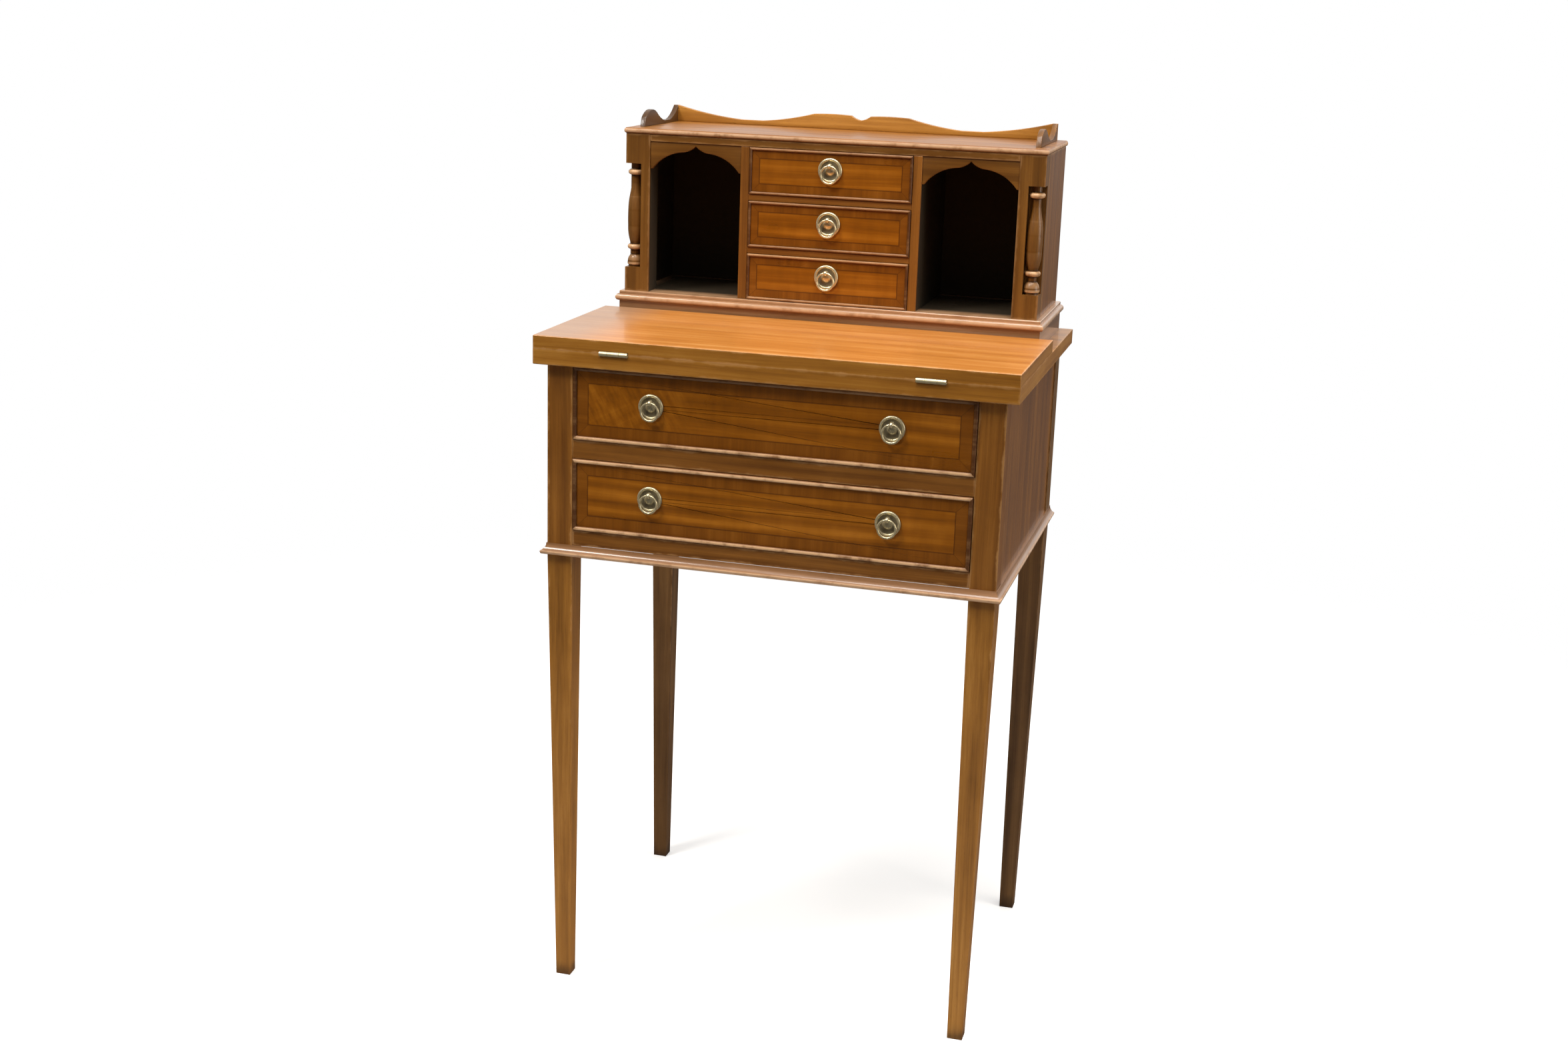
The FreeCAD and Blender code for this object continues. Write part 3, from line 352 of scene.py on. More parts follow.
# %% [markdown]
# ## Cross-banding
# The drawer fronts have a veneered field inside a border whose grain runs across it, from the
# edge inwards, with mitred corners and a thin dark line where border meets field. The border
# could be separate strips of mesh, but veneer has no thickness to see. A mask does it: the
# distance to the nearer side of a rectangle picks the border, and which side is nearer picks
# the way of the grain.

# %% The banding group
# u, v = half size - |place - middle|; band where min(u, v) < width; upright where u < v; line
# where min(u, v) is nearly the width, or u nearly v in the band.
BANDING, take, give = new_group(
    "Cross-banding", dict(Vector=(0, 0, 0), Middle=(0, 0, 0), Half=(1, 1, 1), Width=0.012,
                          Line=0.0006), "Band", "Upright", "Line")
u, _, v = (take["Half"] - abs(take["Vector"] - take["Middle"])).parts()
inside = u.lesser(v)
mitre = (inside > take["Width"]) + abs(u - v) * 2.2
off = abs(inside - take["Width"]).lesser(mitre)
fill(give, Band=inside < take["Width"], Upright=u < v, Line=off < take["Line"])
print("banding group:", len(BANDING.nodes), "nodes")

# %% [markdown]
# ## Painted shade inside
# The insides of the pigeonholes lie in deep shade, and that shade is painted into their colour,
# nearly black. One board is polished outside and shaded inside, so the painted shade can't be a
# material of the whole board. A box in object coordinates marks the space, with a soft edge
# where the painted shade thins out near the front.

# %% The painted shade group
# inside = the least of the three depths in the box; the mask rises over the blur.
INSIDE_SHADE, take, give = new_group("Painted shade inside", dict(BOX, Blur=0.006), "Mask")
a, b, c = depths(take)
fill(give, Mask=step(a.lesser(b).lesser(c) / take["Blur"], 0.0, 1.0))
print("painted shade group:", len(INSIDE_SHADE.nodes), "nodes")

# %% [markdown]
# ## The wood finishes
# Each finish is three colours of grain, a strength for each kind of marking, and a polish. One
# function turns them into a material for one board, so that every board gets its own place in
# the tree: the seed moves it, and a Mapping node turns the grain along the board. French polish
# is a thin clear film, so the shader's coat carries the gloss and the wood below stays rougher.

# %% Colours of the woods
def tint(red, green, blue):
    """A picture colour, 0 to 255, as the light it stands for: ((c + 0.055) / 1.055) ** 2.4."""
    c = np.array([red, green, blue]) / 255.0
    return (*np.where(c <= 0.04045, c / 12.92, ((c + 0.055) / 1.055) ** 2.4).tolist(), 1.0)


Wood = namedtuple("Wood", "dark middle light streaks figure pores rough coat rub ripple")
FINISHES = {name: Wood(*(tint(*colour) for colour in row[:3]), *row[3:]) for name, *row in (
    ("case", (82, 44, 10), (124, 76, 24), (160, 104, 40), 0.6, 0.3, 0.4, 0.36, 0.3, 0.5, 0),
    ("post", (88, 48, 10), (130, 80, 24), (162, 106, 40), 0.6, 0.25, 0.4, 0.4, 0.2, 0.4, 0),
    ("leg", (108, 66, 18), (158, 104, 36), (190, 134, 58), 0.7, 0.25, 0.4, 0.4, 0.2, 0.4, 0),
    # A darker copy of the legs' wood for the rear legs: painted shade.
    ("rear leg", (66, 42, 16), (106, 72, 34), (134, 96, 50), 0.6, 0.25, 0.4, 0.45, 0.1, 0.3, 0),
    ("leaf", (154, 90, 34), (184, 116, 48), (208, 148, 82), 0.7, 0.25, 0.3, 0.3, 0.9, 0.4, 0),
    ("edge", (110, 66, 16), (154, 100, 32), (184, 130, 56), 0.7, 0.2, 0.4, 0.36, 0.25, 0.3, 0),
    ("veneer", (94, 50, 4), (140, 80, 8), (182, 112, 26), 0.5, 0.55, 0.3, 0.3, 0.3, 0.4, 0.2),
    ("curly", (94, 50, 4), (140, 80, 8), (182, 112, 26), 0.2, 0, 0.1, 0.3, 0.3, 0.4, 1),
    ("banding", (92, 50, 6), (124, 70, 10), (148, 90, 24), 0.5, 0, 0.3, 0.32, 0.3, 0.3, 0),
    ("moulding", (84, 46, 14), (118, 70, 26), (206, 154, 100), 0.5, 0, 0.1, 0.42, 0.15, 1, 0),
    # The ledge wood is paler and greyer than the case's: painted reflection in its polish.
    ("ledge", (112, 74, 42), (152, 108, 70), (190, 144, 108), 0.6, 0.2, 0.3, 0.3, 0.7, 0.9, 0),
    ("fret", (70, 42, 10), (110, 70, 22), (142, 96, 38), 0.6, 0.2, 0.4, 0.4, 0.2, 0.3, 0),
    ("lining", (110, 76, 42), (158, 118, 72), (190, 150, 100), 0.9, 0.5, 0.8, 0.62, 0, 0.2, 0),
    ("backboard", (52, 32, 18), (92, 62, 36), (126, 92, 56), 1, 0.7, 0.4, 0.7, 0, 0.1, 0))}
ALONG = {"x": (0, 0, 0), "y": (0, 0, math.pi / 2), "z": (0, math.pi / 2, 0), "slant": (0, 0.5, 0)}
print(len(FINISHES), "woods")


# %% A board's material
SEEDS, RETURN_SEEDS = itertools.count(1), itertools.count(90)


def grained(place, finish, along, seed):
    """The grain group on one board, turned so that its X runs along the grain."""
    turned = put(place.tree, "Mapping", Vector=place, Rotation=ALONG[along]).outputs[0]
    f = FINISHES[finish]
    return use(GRAIN, Field(turned), Dark=f.dark, Middle=f.middle, Light=f.light,
               Streaks=f.streaks, Figure=f.figure, Ripple=f.ripple, Pores=f.pores, Seed=seed)


def wood(name, finish, along, *effects):
    """Grain under a thin polish. Each effect takes the place, the board's seed and the colour and
    roughness reached so far, and gives the next colour and roughness."""
    material, shader, place = new_material(name)
    seed = next(SEEDS)
    grain = grained(place, finish, along, seed)
    colour, rough = grain["Color"], grain["Roughness"] + FINISHES[finish].rough
    for change in effects:
        colour, rough = change(place, seed, colour, rough)
    bump = put(place.tree, "Bump", Height=grain["Height"], Strength=0.25, Distance=0.0002)
    fill(shader, Base_Color=colour, Roughness=rough.clamped(), Normal=bump.outputs[0],
         Coat_Weight=FINISHES[finish].coat, Coat_Roughness=0.12, Specular_IOR_Level=0.35)
    return material


print("grain runs along", ", ".join(ALONG))

# %% [markdown]
# ## What happened to a board since, and painted light
# On top of the grain come the things that were done to a board, and some painted light: a border
# laid round it, painted shade inside the pigeonholes, edges rubbed pale, crests painted pale and
# hollows dark, a top lighter than its edges, a painted reflection at one end of the leaf and
# painted shade at one end of the gallery, feet that stood on damp floors. Each could be one more
# branch in one long function. As small functions that hand on a colour and a roughness, they can
# be put together freely, in the order in which they are laid on.

# %% Effects made by the maker, and painted shade inside
def effect(change):
    """Makes change(place, seed, colour, rough, *settings) take its settings first."""
    return lambda *settings, **named: lambda *state: change(*state, *settings, **named)


@effect
def banded(place, seed, colour, rough, low, high, width):
    """A border of veneer laid across, mitred at the corners, with a thin darker line inside it."""
    middle, half = (np.add(low, high) / 2).tolist(), (np.subtract(high, low) / 2).tolist()
    mask = use(BANDING, place, Middle=middle, Half=half, Width=width)
    across = grained(place, "banding", "x", seed + 1.7)
    upright = grained(place, "banding", "z", seed + 2.9)
    border = blended(mask["Upright"], upright["Color"], across["Color"])
    colour = blended(mask["Band"], colour, border)
    return blended(mask["Line"] * 0.55, colour, tint(44, 20, 6)), rough


@effect
def curled(place, seed, colour, rough, start, end):
    """Curly figure, slanting across the grain, where x lies before start, and none beyond end."""
    curly = grained(place * (2, 2, 2), "curly", "slant", seed)
    share = (1.0 - step(place.parts()[0], start, end)) * 0.8
    return blended(share, colour, curly["Color"]), rough


@effect
def shaded_inside(place, seed, colour, rough, low, high, blur=0.004):
    """Painted shade, nearly black, inside a box."""
    dark = use(INSIDE_SHADE, place, Low=low, High=high, Blur=blur)["Mask"]
    return blended(dark, colour, tint(56, 46, 32)), rough + dark * 0.3


@effect
def returned(place, seed, colour, rough, half, front, finish, reach=1.0):
    """Grain along y at both ends, as on a strip that turns the corner: where half - |x| is less
    than y - front, which is the mitre, and less than the strip's reach."""
    x, y, _ = (place - (0, front, 0)).parts()
    side = grained(place, finish, "y", next(RETURN_SEEDS))
    return blended(half - abs(x) < y.lesser(reach), colour, side["Color"]), rough


# %% Effects of use and time, and painted light
def pale(finish, wear_and_light):
    """What a wood is rubbed to, and what a crest is painted to as a highlight: halfway from its own
    light streaks to a colour of wear and light.
    """
    return (np.add(FINISHES[finish].light, tint(*wear_and_light)) / 2).tolist()


@effect
def rubbed(place, seed, colour, rough, low, high, finish, width=0.0025, pair=False):
    """Pale edges. A pair of like boards left and right is read through the size of x alone."""
    where = abs(place) if pair else place
    mask = use(EDGES, where, Low=low, High=high, Width=width)["Mask"]
    colour = blended(mask * FINISHES[finish].rub, colour, pale(finish, (222, 174, 122)))
    return colour, rough + mask * 0.05


@effect
def painted_crests_and_hollows(place, seed, colour, rough, finish):
    """Pale crests, as wear and as a painted highlight, and dark hollows, as painted shade, from the
    piece's own crest and hollow attributes.
    """
    crest_sheen, hollow_shade = (Field(put(place.tree, "Attribute", {"attribute_name": n}).outputs["Fac"])
                     for n in ("crest_sheen", "hollow_shade"))
    # The pale crest is wear and a painted highlight; tint(34, 16, 7) in the hollows is painted
    # shade.
    share = crest_sheen * step(noise(place, 60.0, 4.0), 0.2, 0.55) * FINISHES[finish].rub
    colour = blended(hollow_shade * 0.75, colour, tint(34, 16, 7))
    return blended(share, colour, pale(finish, (232, 192, 150))), rough


@effect
def changing(place, seed, colour, rough, start, end, finish, along):
    """Another wood above a ragged height: share = smooth((z - start) / (end - start))."""
    other = grained(place, finish, along, seed + 0.5)
    ragged = (noise(place, 90.0) - 0.5) * (0.5 * (end - start))
    return blended(step(ragged + place.parts()[2], start, end), colour, other["Color"]), rough


@effect
def painted_left_end(place, seed, colour, rough, start, end, top, painted_colour, most):
    """Painted light at the left end, where z lies above top: a painted reflection on the leaf,
    painted shade on the gallery's side. share = most (1 - smooth((x - start) / (end - start)))."""
    x, _, z = place.parts()
    return blended((1.0 - step(x, start, end)) * most * (z > top), colour, tint(*painted_colour)), rough


@effect
def footworn(place, seed, colour, rough, height=0.02):
    """A foot dark from the floor up: share = 0.6 (1 - smooth(z / height)), broken by noise."""
    cloud = noise(place * (1, 1, 0.4), 70.0, 4.0) - 0.5
    share = (1.0 - step(cloud * 0.03 + place.parts()[2], 0.0, height)) * 0.6
    return blended(share, colour, tint(38, 24, 14)), rough + share * 0.3


print("nine effects")

# %% [markdown]
# ## Old brass
# The pulls were lacquered once. Where fingers reach, the brass is pale and smooth, and in the
# hollows it has gone brown with a breath of green. Metal has no colour of its own apart from
# its reflection, so the tarnish takes the metallic value down as well as the colour. The
# hollows come from noise and from how far a spot lies behind the rose's rim.

# %% The brass material
def brass(name, shine=1.0, depth=None, tarnish=1.0):
    """Brass whose tarnish grows with noise and with depth: (y of the rim, y of the floor)."""
    material, shader, place = new_material(name)
    cloud = noise(place, 240.0, 5.0, 0.65)
    speck = noise(place, 1500.0, 3.0, 0.6)
    dull = step(cloud * 0.75 + speck * 0.25, 0.5, 0.8) * tarnish
    if depth:
        dull = (step(place.parts()[1], *depth, "LINEAR") * 0.95 + dull * 0.4).clamped()
    bright = blended(cloud, (0.70, 0.57, 0.32, 1), (0.86, 0.76, 0.50, 1))
    bump = put(place.tree, "Bump", Height=speck, Strength=0.3, Distance=0.0001)
    fill(shader, Base_Color=blended(dull * 0.92, bright, (0.06, 0.042, 0.018, 1)),
         Metallic=0.7 - dull * 0.3, Roughness=dull * 0.28 + 0.26 / shine, Normal=bump.outputs[0])
    return material


print("brass ready")

# %% [markdown]
# ## Surfaces from arrays
# Every new piece below is one of two shapes: sections carried along a path, or an outline with
# a softened edge. Blender's curve tools can make both, but with arrays the whole surface is one
# formula and its exact size is known. The grid of points becomes a mesh with faces between
# neighbours, and the sign of its volume tells whether the faces point outwards.

# %% From a grid of points to a closed shape
def skin(rings, loop=False):
    """rings[i, j] is point j of section i. Faces join neighbours; every section is closed, and the
    run either loops or is capped at both ends. A negative volume turns all the faces round."""
    rings = np.asarray(rings, float)
    count, size = rings.shape[:2]
    i, j = np.meshgrid(np.arange(count if loop else count - 1), np.arange(size), indexing="ij")
    after, beside = (i + 1) % count, (j + 1) % size
    quads = np.stack([i * size + j, i * size + beside, after * size + beside, after * size + j], -1)
    points, faces = rings.reshape(-1, 3), quads.reshape(-1, 4)
    a, b, c, d = (points[faces[:, k]] for k in range(4))
    volume = (a * (np.cross(b, c) + np.cross(c, d))).sum()
    ends = [] if loop else [np.arange(size)[::-1], (count - 1) * size + np.arange(size)]
    for end in ends:
        ring, middle = points[end], points[end].mean(0)
        volume += (np.cross(ring - middle, np.roll(ring, -1, 0) - middle) @ middle).sum()
    faces = faces.tolist() + [end.tolist() for end in ends]
    return points, [f[::-1] for f in faces] if volume < 0 else faces


def piece(name, shapes, node, material, marks=(), sharp=32):
    """One object from several closed shapes. It stands for a node, rides on its body, and may carry
    two marks for each point, how much of a crest it is and how much of a hollow."""
    starts = np.cumsum([0] + [len(points) for points, _ in shapes]).tolist()
    faces = [[k + start for k in face] for start, (_, some) in zip(starts, shapes) for face in some]
    mesh = bpy.data.meshes.new(name)
    mesh.from_pydata(np.concatenate([points for points, _ in shapes]).tolist(), [], faces)
    for key, values in zip(("crest_sheen", "hollow_shade"), marks):
        mark = mesh.attributes.new(key, "FLOAT", "POINT")
        mark.data.foreach_set("value", np.ravel(values).astype(np.float32))
    mesh.shade_smooth()
    mesh.set_sharp_from_angle(angle=math.radians(sharp))
    mesh.materials.append(material)
    thing = in_scene(name, mesh)
    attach(thing, BODY_OF[node])
    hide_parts(node)


def drawn(points, steps=10):
    """A drawn line through (u, v) points; a third number makes the stretch that ends there an arc,
    whose apex lies that far to the left of the chord's middle. With h = 2 atan(2 sag / length),
    each w from -h to h gives middle + (chord sin w + left (cos w - cos h)) / (2 sin h)."""
    line = [np.array([points[0][:2]], float)]
    for before, point in zip(points, points[1:]):
        p, q = np.array(before[:2], float), np.array(point[:2], float)
        if len(point) == 2:
            line.append(q[None])
            continue
        chord, left = q - p, np.array([p[1] - q[1], q[0] - p[0]])
        h = 2 * math.atan(2 * point[2] / np.hypot(*chord))
        w = np.linspace(-h, h, steps + 1)[1:, None]
        bow = (chord * np.sin(w) + left * (np.cos(w) - math.cos(h))) / (2 * math.sin(h))
        line.append((p + q) / 2 + bow)
    return np.concatenate(line)


print("shapes are skins over grids of points")

# %% [markdown]
# ## Softened arrises
# No board leaves the bench with a knife edge: a pass of sandpaper rounds each arris by half a
# millimetre, and that thin rounding is what catches the light. On the frame's own boards a
# Bevel modifier does it. Their meshes arrive as loose triangles, so a Weld modifier joins them
# first, and Weighted Normal keeps the flat faces flat.

# %% Arrises on the frame's boards
def soften(node, width):
    """Weld, Bevel and Weighted Normal on a CAD board."""
    modifiers = frame["nodes"][node].modifiers
    modifiers.new("joined", "WELD").merge_threshold = 1e-6
    bevel = modifiers.new("arris", "BEVEL")
    bevel.width, bevel.segments = width, 2
    bevel.limit_method, bevel.angle_limit = "ANGLE", math.radians(40)
    bevel.use_clamp_overlap = True
    modifiers.new("even", "WEIGHTED_NORMAL").keep_sharp = False


def dress(node, material):
    """Give a CAD node its material in its own slot."""
    materials = frame["nodes"][node].data.materials
    materials.clear()
    materials.append(material)


FINER = ("ring", "rose", "hinge", "cockbead", "base_moulding", "column", "gallery", "fret",
         "top_board")
SOFTENED = [n for n in frame["nodes"] if n != "plinth" and not any(word in n for word in FINER)]
for node in SOFTENED:
    soften(node, 0.0009 if node in ("writing_leaf", "writing_bed") else 0.0005)
print(len(SOFTENED), "boards softened")

# %% [markdown]
# ## Which board gets which wood
# The grain runs the way a maker would lay it: along rails and boards, up and down posts and
# legs. Each board has its own seed, a plain count, so that neighbours never match by chance.

# %% Wood for the case, the legs and the insides
def box_of(node):
    """The low and the high corner of a node's box."""
    return tuple(map(tuple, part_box(node)))


FACE = box_of("front_stiles")[0][1]
HOLE_LOW = (-0.238, FACE + 0.0005, box_of("plinth")[1][2] - 0.02)
HOLE_HIGH = (0.238, box_of("upper_back_panel")[0][1] + 0.0042,
             box_of("end_panel_right")[1][2] + 0.02)
STILE_IN, STILE_SHADED = 0.214, 0.2185
PLAN = {node: (finish, along) for finish, along, nodes in (
    ("edge", "x", "writing_bed"), ("case", "x", "middle_rail bottom_rail"), ("fret", "x", "lintel"),
    ("leg", "z", "post_front_left post_front_right"),
    ("rear leg", "z", "post_back_left post_back_right"),
    ("case", "z", "side_panel_left side_panel_right end_panel_left end_panel_right"),
    ("backboard", "x", "upper_back_panel case_back"), ("fret", "z", "front_stiles"),
    ("case", "z", "partitions"), ("case", "x", "dust_boards"), ("lining", "y", "drawer_runners"))
    for node in nodes.split()}
UNRUBBED = ("partitions", "dust_boards", "drawer_runners")
# These boards, and the stiles' inner faces, are painted dark inside the pigeonholes: painted shade.
SHADED_INSIDE = "end_panel_left end_panel_right partitions upper_back_panel dust_boards lintel".split()
for node, (finish, along) in PLAN.items():
    low, high = box_of(node)
    effects = [] if node in UNRUBBED else [rubbed(low, high, finish)]
    if node == "front_stiles":
        effects = [rubbed((STILE_IN, *low[1:]), high, finish, pair=True),
                   shaded_inside((-STILE_SHADED, *HOLE_LOW[1:]), (STILE_SHADED, *HOLE_HIGH[1:]))]
    if node.startswith("post"):
        effects += [footworn()]
    if node.startswith("post_front"):
        effects = [changing(0.49, 0.53, "post", "z")] + effects
    if node == "writing_bed":
        effects = [returned(high[0], low[1], finish, 0.002)] + effects
    if node in SHADED_INSIDE:
        effects += [shaded_inside(HOLE_LOW, HOLE_HIGH)]
    dress(node, wood(f"{node}_wood", finish, along, *effects))
print(len(PLAN), "boards dressed")

# %% The leaf, lighter on top than at its edges, with a painted reflection at its left end
low, high = box_of("writing_leaf")
# The top takes a lighter wood than the edges. Its left end is greyed: a painted reflection.
dress("writing_leaf", wood(
    "writing_leaf_wood", "edge", "x", returned(high[0], low[1], "edge", 0.002),
    changing(high[2] - 0.001, high[2] - 0.0004, "leaf", "x"),
    painted_left_end(-0.24, -0.17, high[2] - 0.0004, (142, 124, 108), 0.6), rubbed(low, high, "leaf", 0.002)))
print("leaf", round((high[1] - low[1]) * 1000), "mm deep")

# %% Wood for the drawers
# How wide a drawer's border is, its bead's width, how far that stands proud, how deep it goes in.
DRAWERS = {name: (0.013, 0.0045, 0.0026, 0.006) for name in ("upper_drawer", "lower_drawer")}
for level in ("top", "middle", "bottom"):
    DRAWERS[f"small_drawer_{level}"] = (0.009, 0.003, 0.002, 0.0045)
for name, (border, wide, _, _) in DRAWERS.items():
    low, high = box_of(name + "_front")
    field = ((low[0] + wide, low[1], low[2] + wide), (high[0] - wide, high[1], high[2] - wide))
    effects = [curled(-0.14, -0.06)] if name == "upper_drawer" else []
    dress(name + "_front", wood(name + "_veneer", "veneer", "x", *effects, banded(*field, border)))
    for part, along in (("sides", "y"), ("back", "x"), ("bottom", "x"), ("box", "y")):
        node = f"{name}_{part}"
        if node in frame["nodes"]:
            dress(node, wood(f"{node}_wood", "lining", along))
print("drawers dressed")

# %% [markdown]
# ## Crests and hollows
# On a turned or moulded piece the crests are painted pale, as wear and as a painted highlight, and
# the hollows dark, as painted shade. How far a point stands out from the average of its
# neighbours along the profile says which it is. The profile is first set out in even steps, so
# that the average covers the same length everywhere.

# %% Even steps and the marks
def even_steps(line, spacing):
    """The same line with points evenly spaced along its length, its ends kept."""
    run = np.concatenate([[0], np.cumsum(np.hypot(*np.diff(line, axis=0).T))])
    spots = np.linspace(0, run[-1], round(run[-1] / spacing))
    return np.stack([np.interp(spots, run, line[:, k]) for k in (0, 1)], 1)


def stand_out(line, reach, scale):
    """(point - average within reach) . outward normal / scale: the positive part is the crest mark
    and the negative part the hollow mark, both held between 0 and 1. Outward is to the right."""
    padded = np.pad(line, ((reach, reach), (0, 0)), mode="reflect", reflect_type="odd")
    window = np.ones(2 * reach + 1) / (2 * reach + 1)
    average = np.stack([np.convolve(padded[:, k], window, "valid") for k in (0, 1)], 1)
    way = np.gradient(line, axis=0)
    way /= np.maximum(np.hypot(*way.T), 1e-12)[:, None]
    outward = np.stack([way[:, 1], -way[:, 0]], 1)
    height = ((line - average) * outward).sum(1) / scale
    return np.clip(height, 0, 1), np.clip(-height, 0, 1)


print("marks: crest and hollow")

# %% [markdown]
# ## The corner columns
# Each stile has a niche, and a slim column stands in it: a cushion foot, a thin neck with a
# ring, a long shaft that swells low and tapers upwards, and another neck and ring. It is cut on
# the lathe in one piece, with a pin turned on its foot that goes down into the stile, and a
# loose dowel comes down through the stile's head into its top. A turning takes very little: a
# profile of radius against height, carried round the axis.

# %% Turning
def lathe(profile, middle, steps=64):
    """Point (i, j) = middle + (r_i cos t_j, r_i sin t_j, h_i), with t_j once round."""
    turn = np.linspace(0, 2 * np.pi, steps, endpoint=False)
    r, h = profile[:, :1], profile[:, 1:]
    rings = np.stack([r * np.cos(turn), r * np.sin(turn), np.broadcast_to(h, (len(r), steps))], -1)
    return rings + np.asarray(middle)


# Radius and height, and the sag of an arc, as shares of the column's own radius and height.
COLUMN = [(0.86, 0), (0.86, 0.018), (0.97, 0.024), (0.97, 0.052, -0.03), (0.54, 0.122, -0.11),
          (0.54, 0.164), (0.8, 0.172), (0.8, 0.218, -0.2), (0.66, 0.224), (0.68, 0.24),
          (0.98, 0.4, -0.09), (0.98, 0.55, -0.02), (0.82, 0.68, -0.035), (0.54, 0.81, 0.025),
          (0.54, 0.884), (0.8, 0.892), (0.8, 0.938, -0.2), (0.54, 0.946), (0.54, 1)]
THICK, TALL, PIN_LONG, PIN_THICK = 0.0089, 0.1198, 0.008, 0.002
line = drawn([(r * THICK, h * TALL, *(s * THICK for s in sag)) for r, h, *sag in COLUMN], 14)
line = even_steps(line, 0.0003)
pin = np.array([(PIN_THICK, -PIN_LONG), (PIN_THICK, 0.0)])
# Its crests are painted pale as wear and a painted highlight, and its hollows dark as painted
# shade.
marks = stand_out(line, 6, 0.00022)
for hand in ("left", "right"):
    node = f"corner_column_{hand}"
    low, high = box_of(node)
    middle = ((low[0] + high[0]) / 2, (low[1] + high[1]) / 2, low[2] + PIN_LONG)
    dowel = np.array([(PIN_THICK, TALL), (PIN_THICK, high[2] - middle[2])])
    rings = [lathe(profile, middle) for profile in (np.concatenate([pin, line]), dowel)]
    piece(f"column_{hand}", [skin(r) for r in rings], node,
          wood(f"column_{hand}_wood", "fret", "z", painted_crests_and_hollows("moulding")),
          [np.repeat(np.pad(mark, 2), rings[0].shape[1]) for mark in marks])
print("columns turned from", len(line), "profile points")

# %% [markdown]
# ## Cockbeads
# A cockbead is a thin strip let into the edge of a drawer front, mitred at the corners and
# rounded where it stands proud, to protect the veneer. Its section is a straight tongue with a
# half-round nose. Carried round a rectangle, a point that lies a outwards and b forwards goes
# to the corner plus a times both outward directions, which is what makes the mitre.

# %% A section carried round a rectangle
def mitred(section, low, high, plane, near=0.012):
    """Corner + a * (sx, sz) + b * forward for each section point (a, b), at four corners, and again
    a small share of each side from both of its corners, so that a mark can change there."""
    signs = np.array([[-1, -1], [1, -1], [1, 1], [-1, 1]])
    corners = np.where(signs < 0, low, high)
    rings = np.zeros((4, len(section), 3))
    rings[..., ::2] = corners[:, None] + section[:, :1] * signs[:, None]
    rings[..., 1] = plane - section[:, 1]
    after = np.roll(rings, -1, 0)
    return np.stack([rings, rings + (after - rings) * near, after + (rings - after) * near],
                    1).reshape(12, *rings.shape[1:])


# Horizontal runs 1, upright runs 0, corners 0.5: how much of each run is painted as lit from above.
LIT_RUNS = np.array([0.5, 1, 1, 0.5, 0, 0] * 2)
QUARTER_SAG = -0.2929
for name, (_, wide, proud, deep) in DRAWERS.items():
    low, high = box_of(name + "_cockbead")
    round_by = wide * 0.46
    sag = round_by * QUARTER_SAG
    section = drawn([(0, -deep), (wide, -deep), (wide, proud - round_by),
                     (wide - round_by, proud, sag), (round_by, proud),
                     (0, proud - round_by, sag)], 8)
    section[:, 0] = wide - section[:, 0]
    section = section[::-1]
    # The crest mark picks the top of the nose, to be painted pale as a highlight, and the hollow
    # mark its root at the drawer front, to be painted dark as shade.
    crest_sheen = np.clip((section[:, 1] - proud * 0.55) / (proud * 0.45), 0, 1)
    hollow_shade = np.clip(1 - section[:, 1] / (proud * 0.35), 0, 1)
    rings = mitred(section - (wide, 0), (low[0], low[2]), (high[0], high[2]), low[1] + proud)
    # The lit runs get a painted highlight on their crest. The upright runs, and the upper drawer's
    # top run in the leaf's shade, are painted dark: painted shade.
    wear_and_light = LIT_RUNS * ([1] * 6 + [0.2] * 6 if name == "upper_drawer" else 1)
    piece(name + "_bead", [skin(rings, loop=True)], name + "_cockbead",
          wood(name + "_bead_wood", "moulding", "x",
               painted_crests_and_hollows("post" if "small" in name else "moulding")),
          (np.outer(wear_and_light, crest_sheen), np.maximum(hollow_shade, 0.7 * (1 - wear_and_light[:, None]))))
print("beads on five drawers")

# %% [markdown]
# ## The base moulding
# A small moulding hides the joint between the case and the legs. It runs round the two sides
# and the front, mitred at the front corners, and stops square at the back. Its section is a
# shallow cove over a low nose. The surface is made like the bead's, but the run is open, so its
# two ends are capped.

# %% The base moulding
low, high = box_of("base_moulding")
reach, tall = 0.006, high[2] - low[2]
section = drawn([(0, 0), (0, tall), (0.12 * reach, tall), (0.8 * reach, 0.36 * tall, -0.1 * tall),
                 (reach, 0.32 * tall), (reach, 0.14 * tall, 0.03 * tall),
                 (0.75 * reach, 0, 0.03 * tall)], 8)
half, front, back = high[0] - reach, low[1] + reach, high[1]
turns = np.array([[-half, back], [-half, front], [half, front], [half, back]])
outward = np.array([[-1, 0], [-1, -1], [1, -1], [1, 0]])
rings = np.zeros((4, len(section), 3))
rings[..., :2] = turns[:, None] + section[:, :1] * outward[:, None]
rings[..., 2] = low[2] + section[:, 1]
# The nose's crest is painted pale: a painted highlight.
crest_sheen = np.clip(section[:, 0] / reach * 4 - 3, 0, 1) * (section[:, 1] > 0.05 * tall)

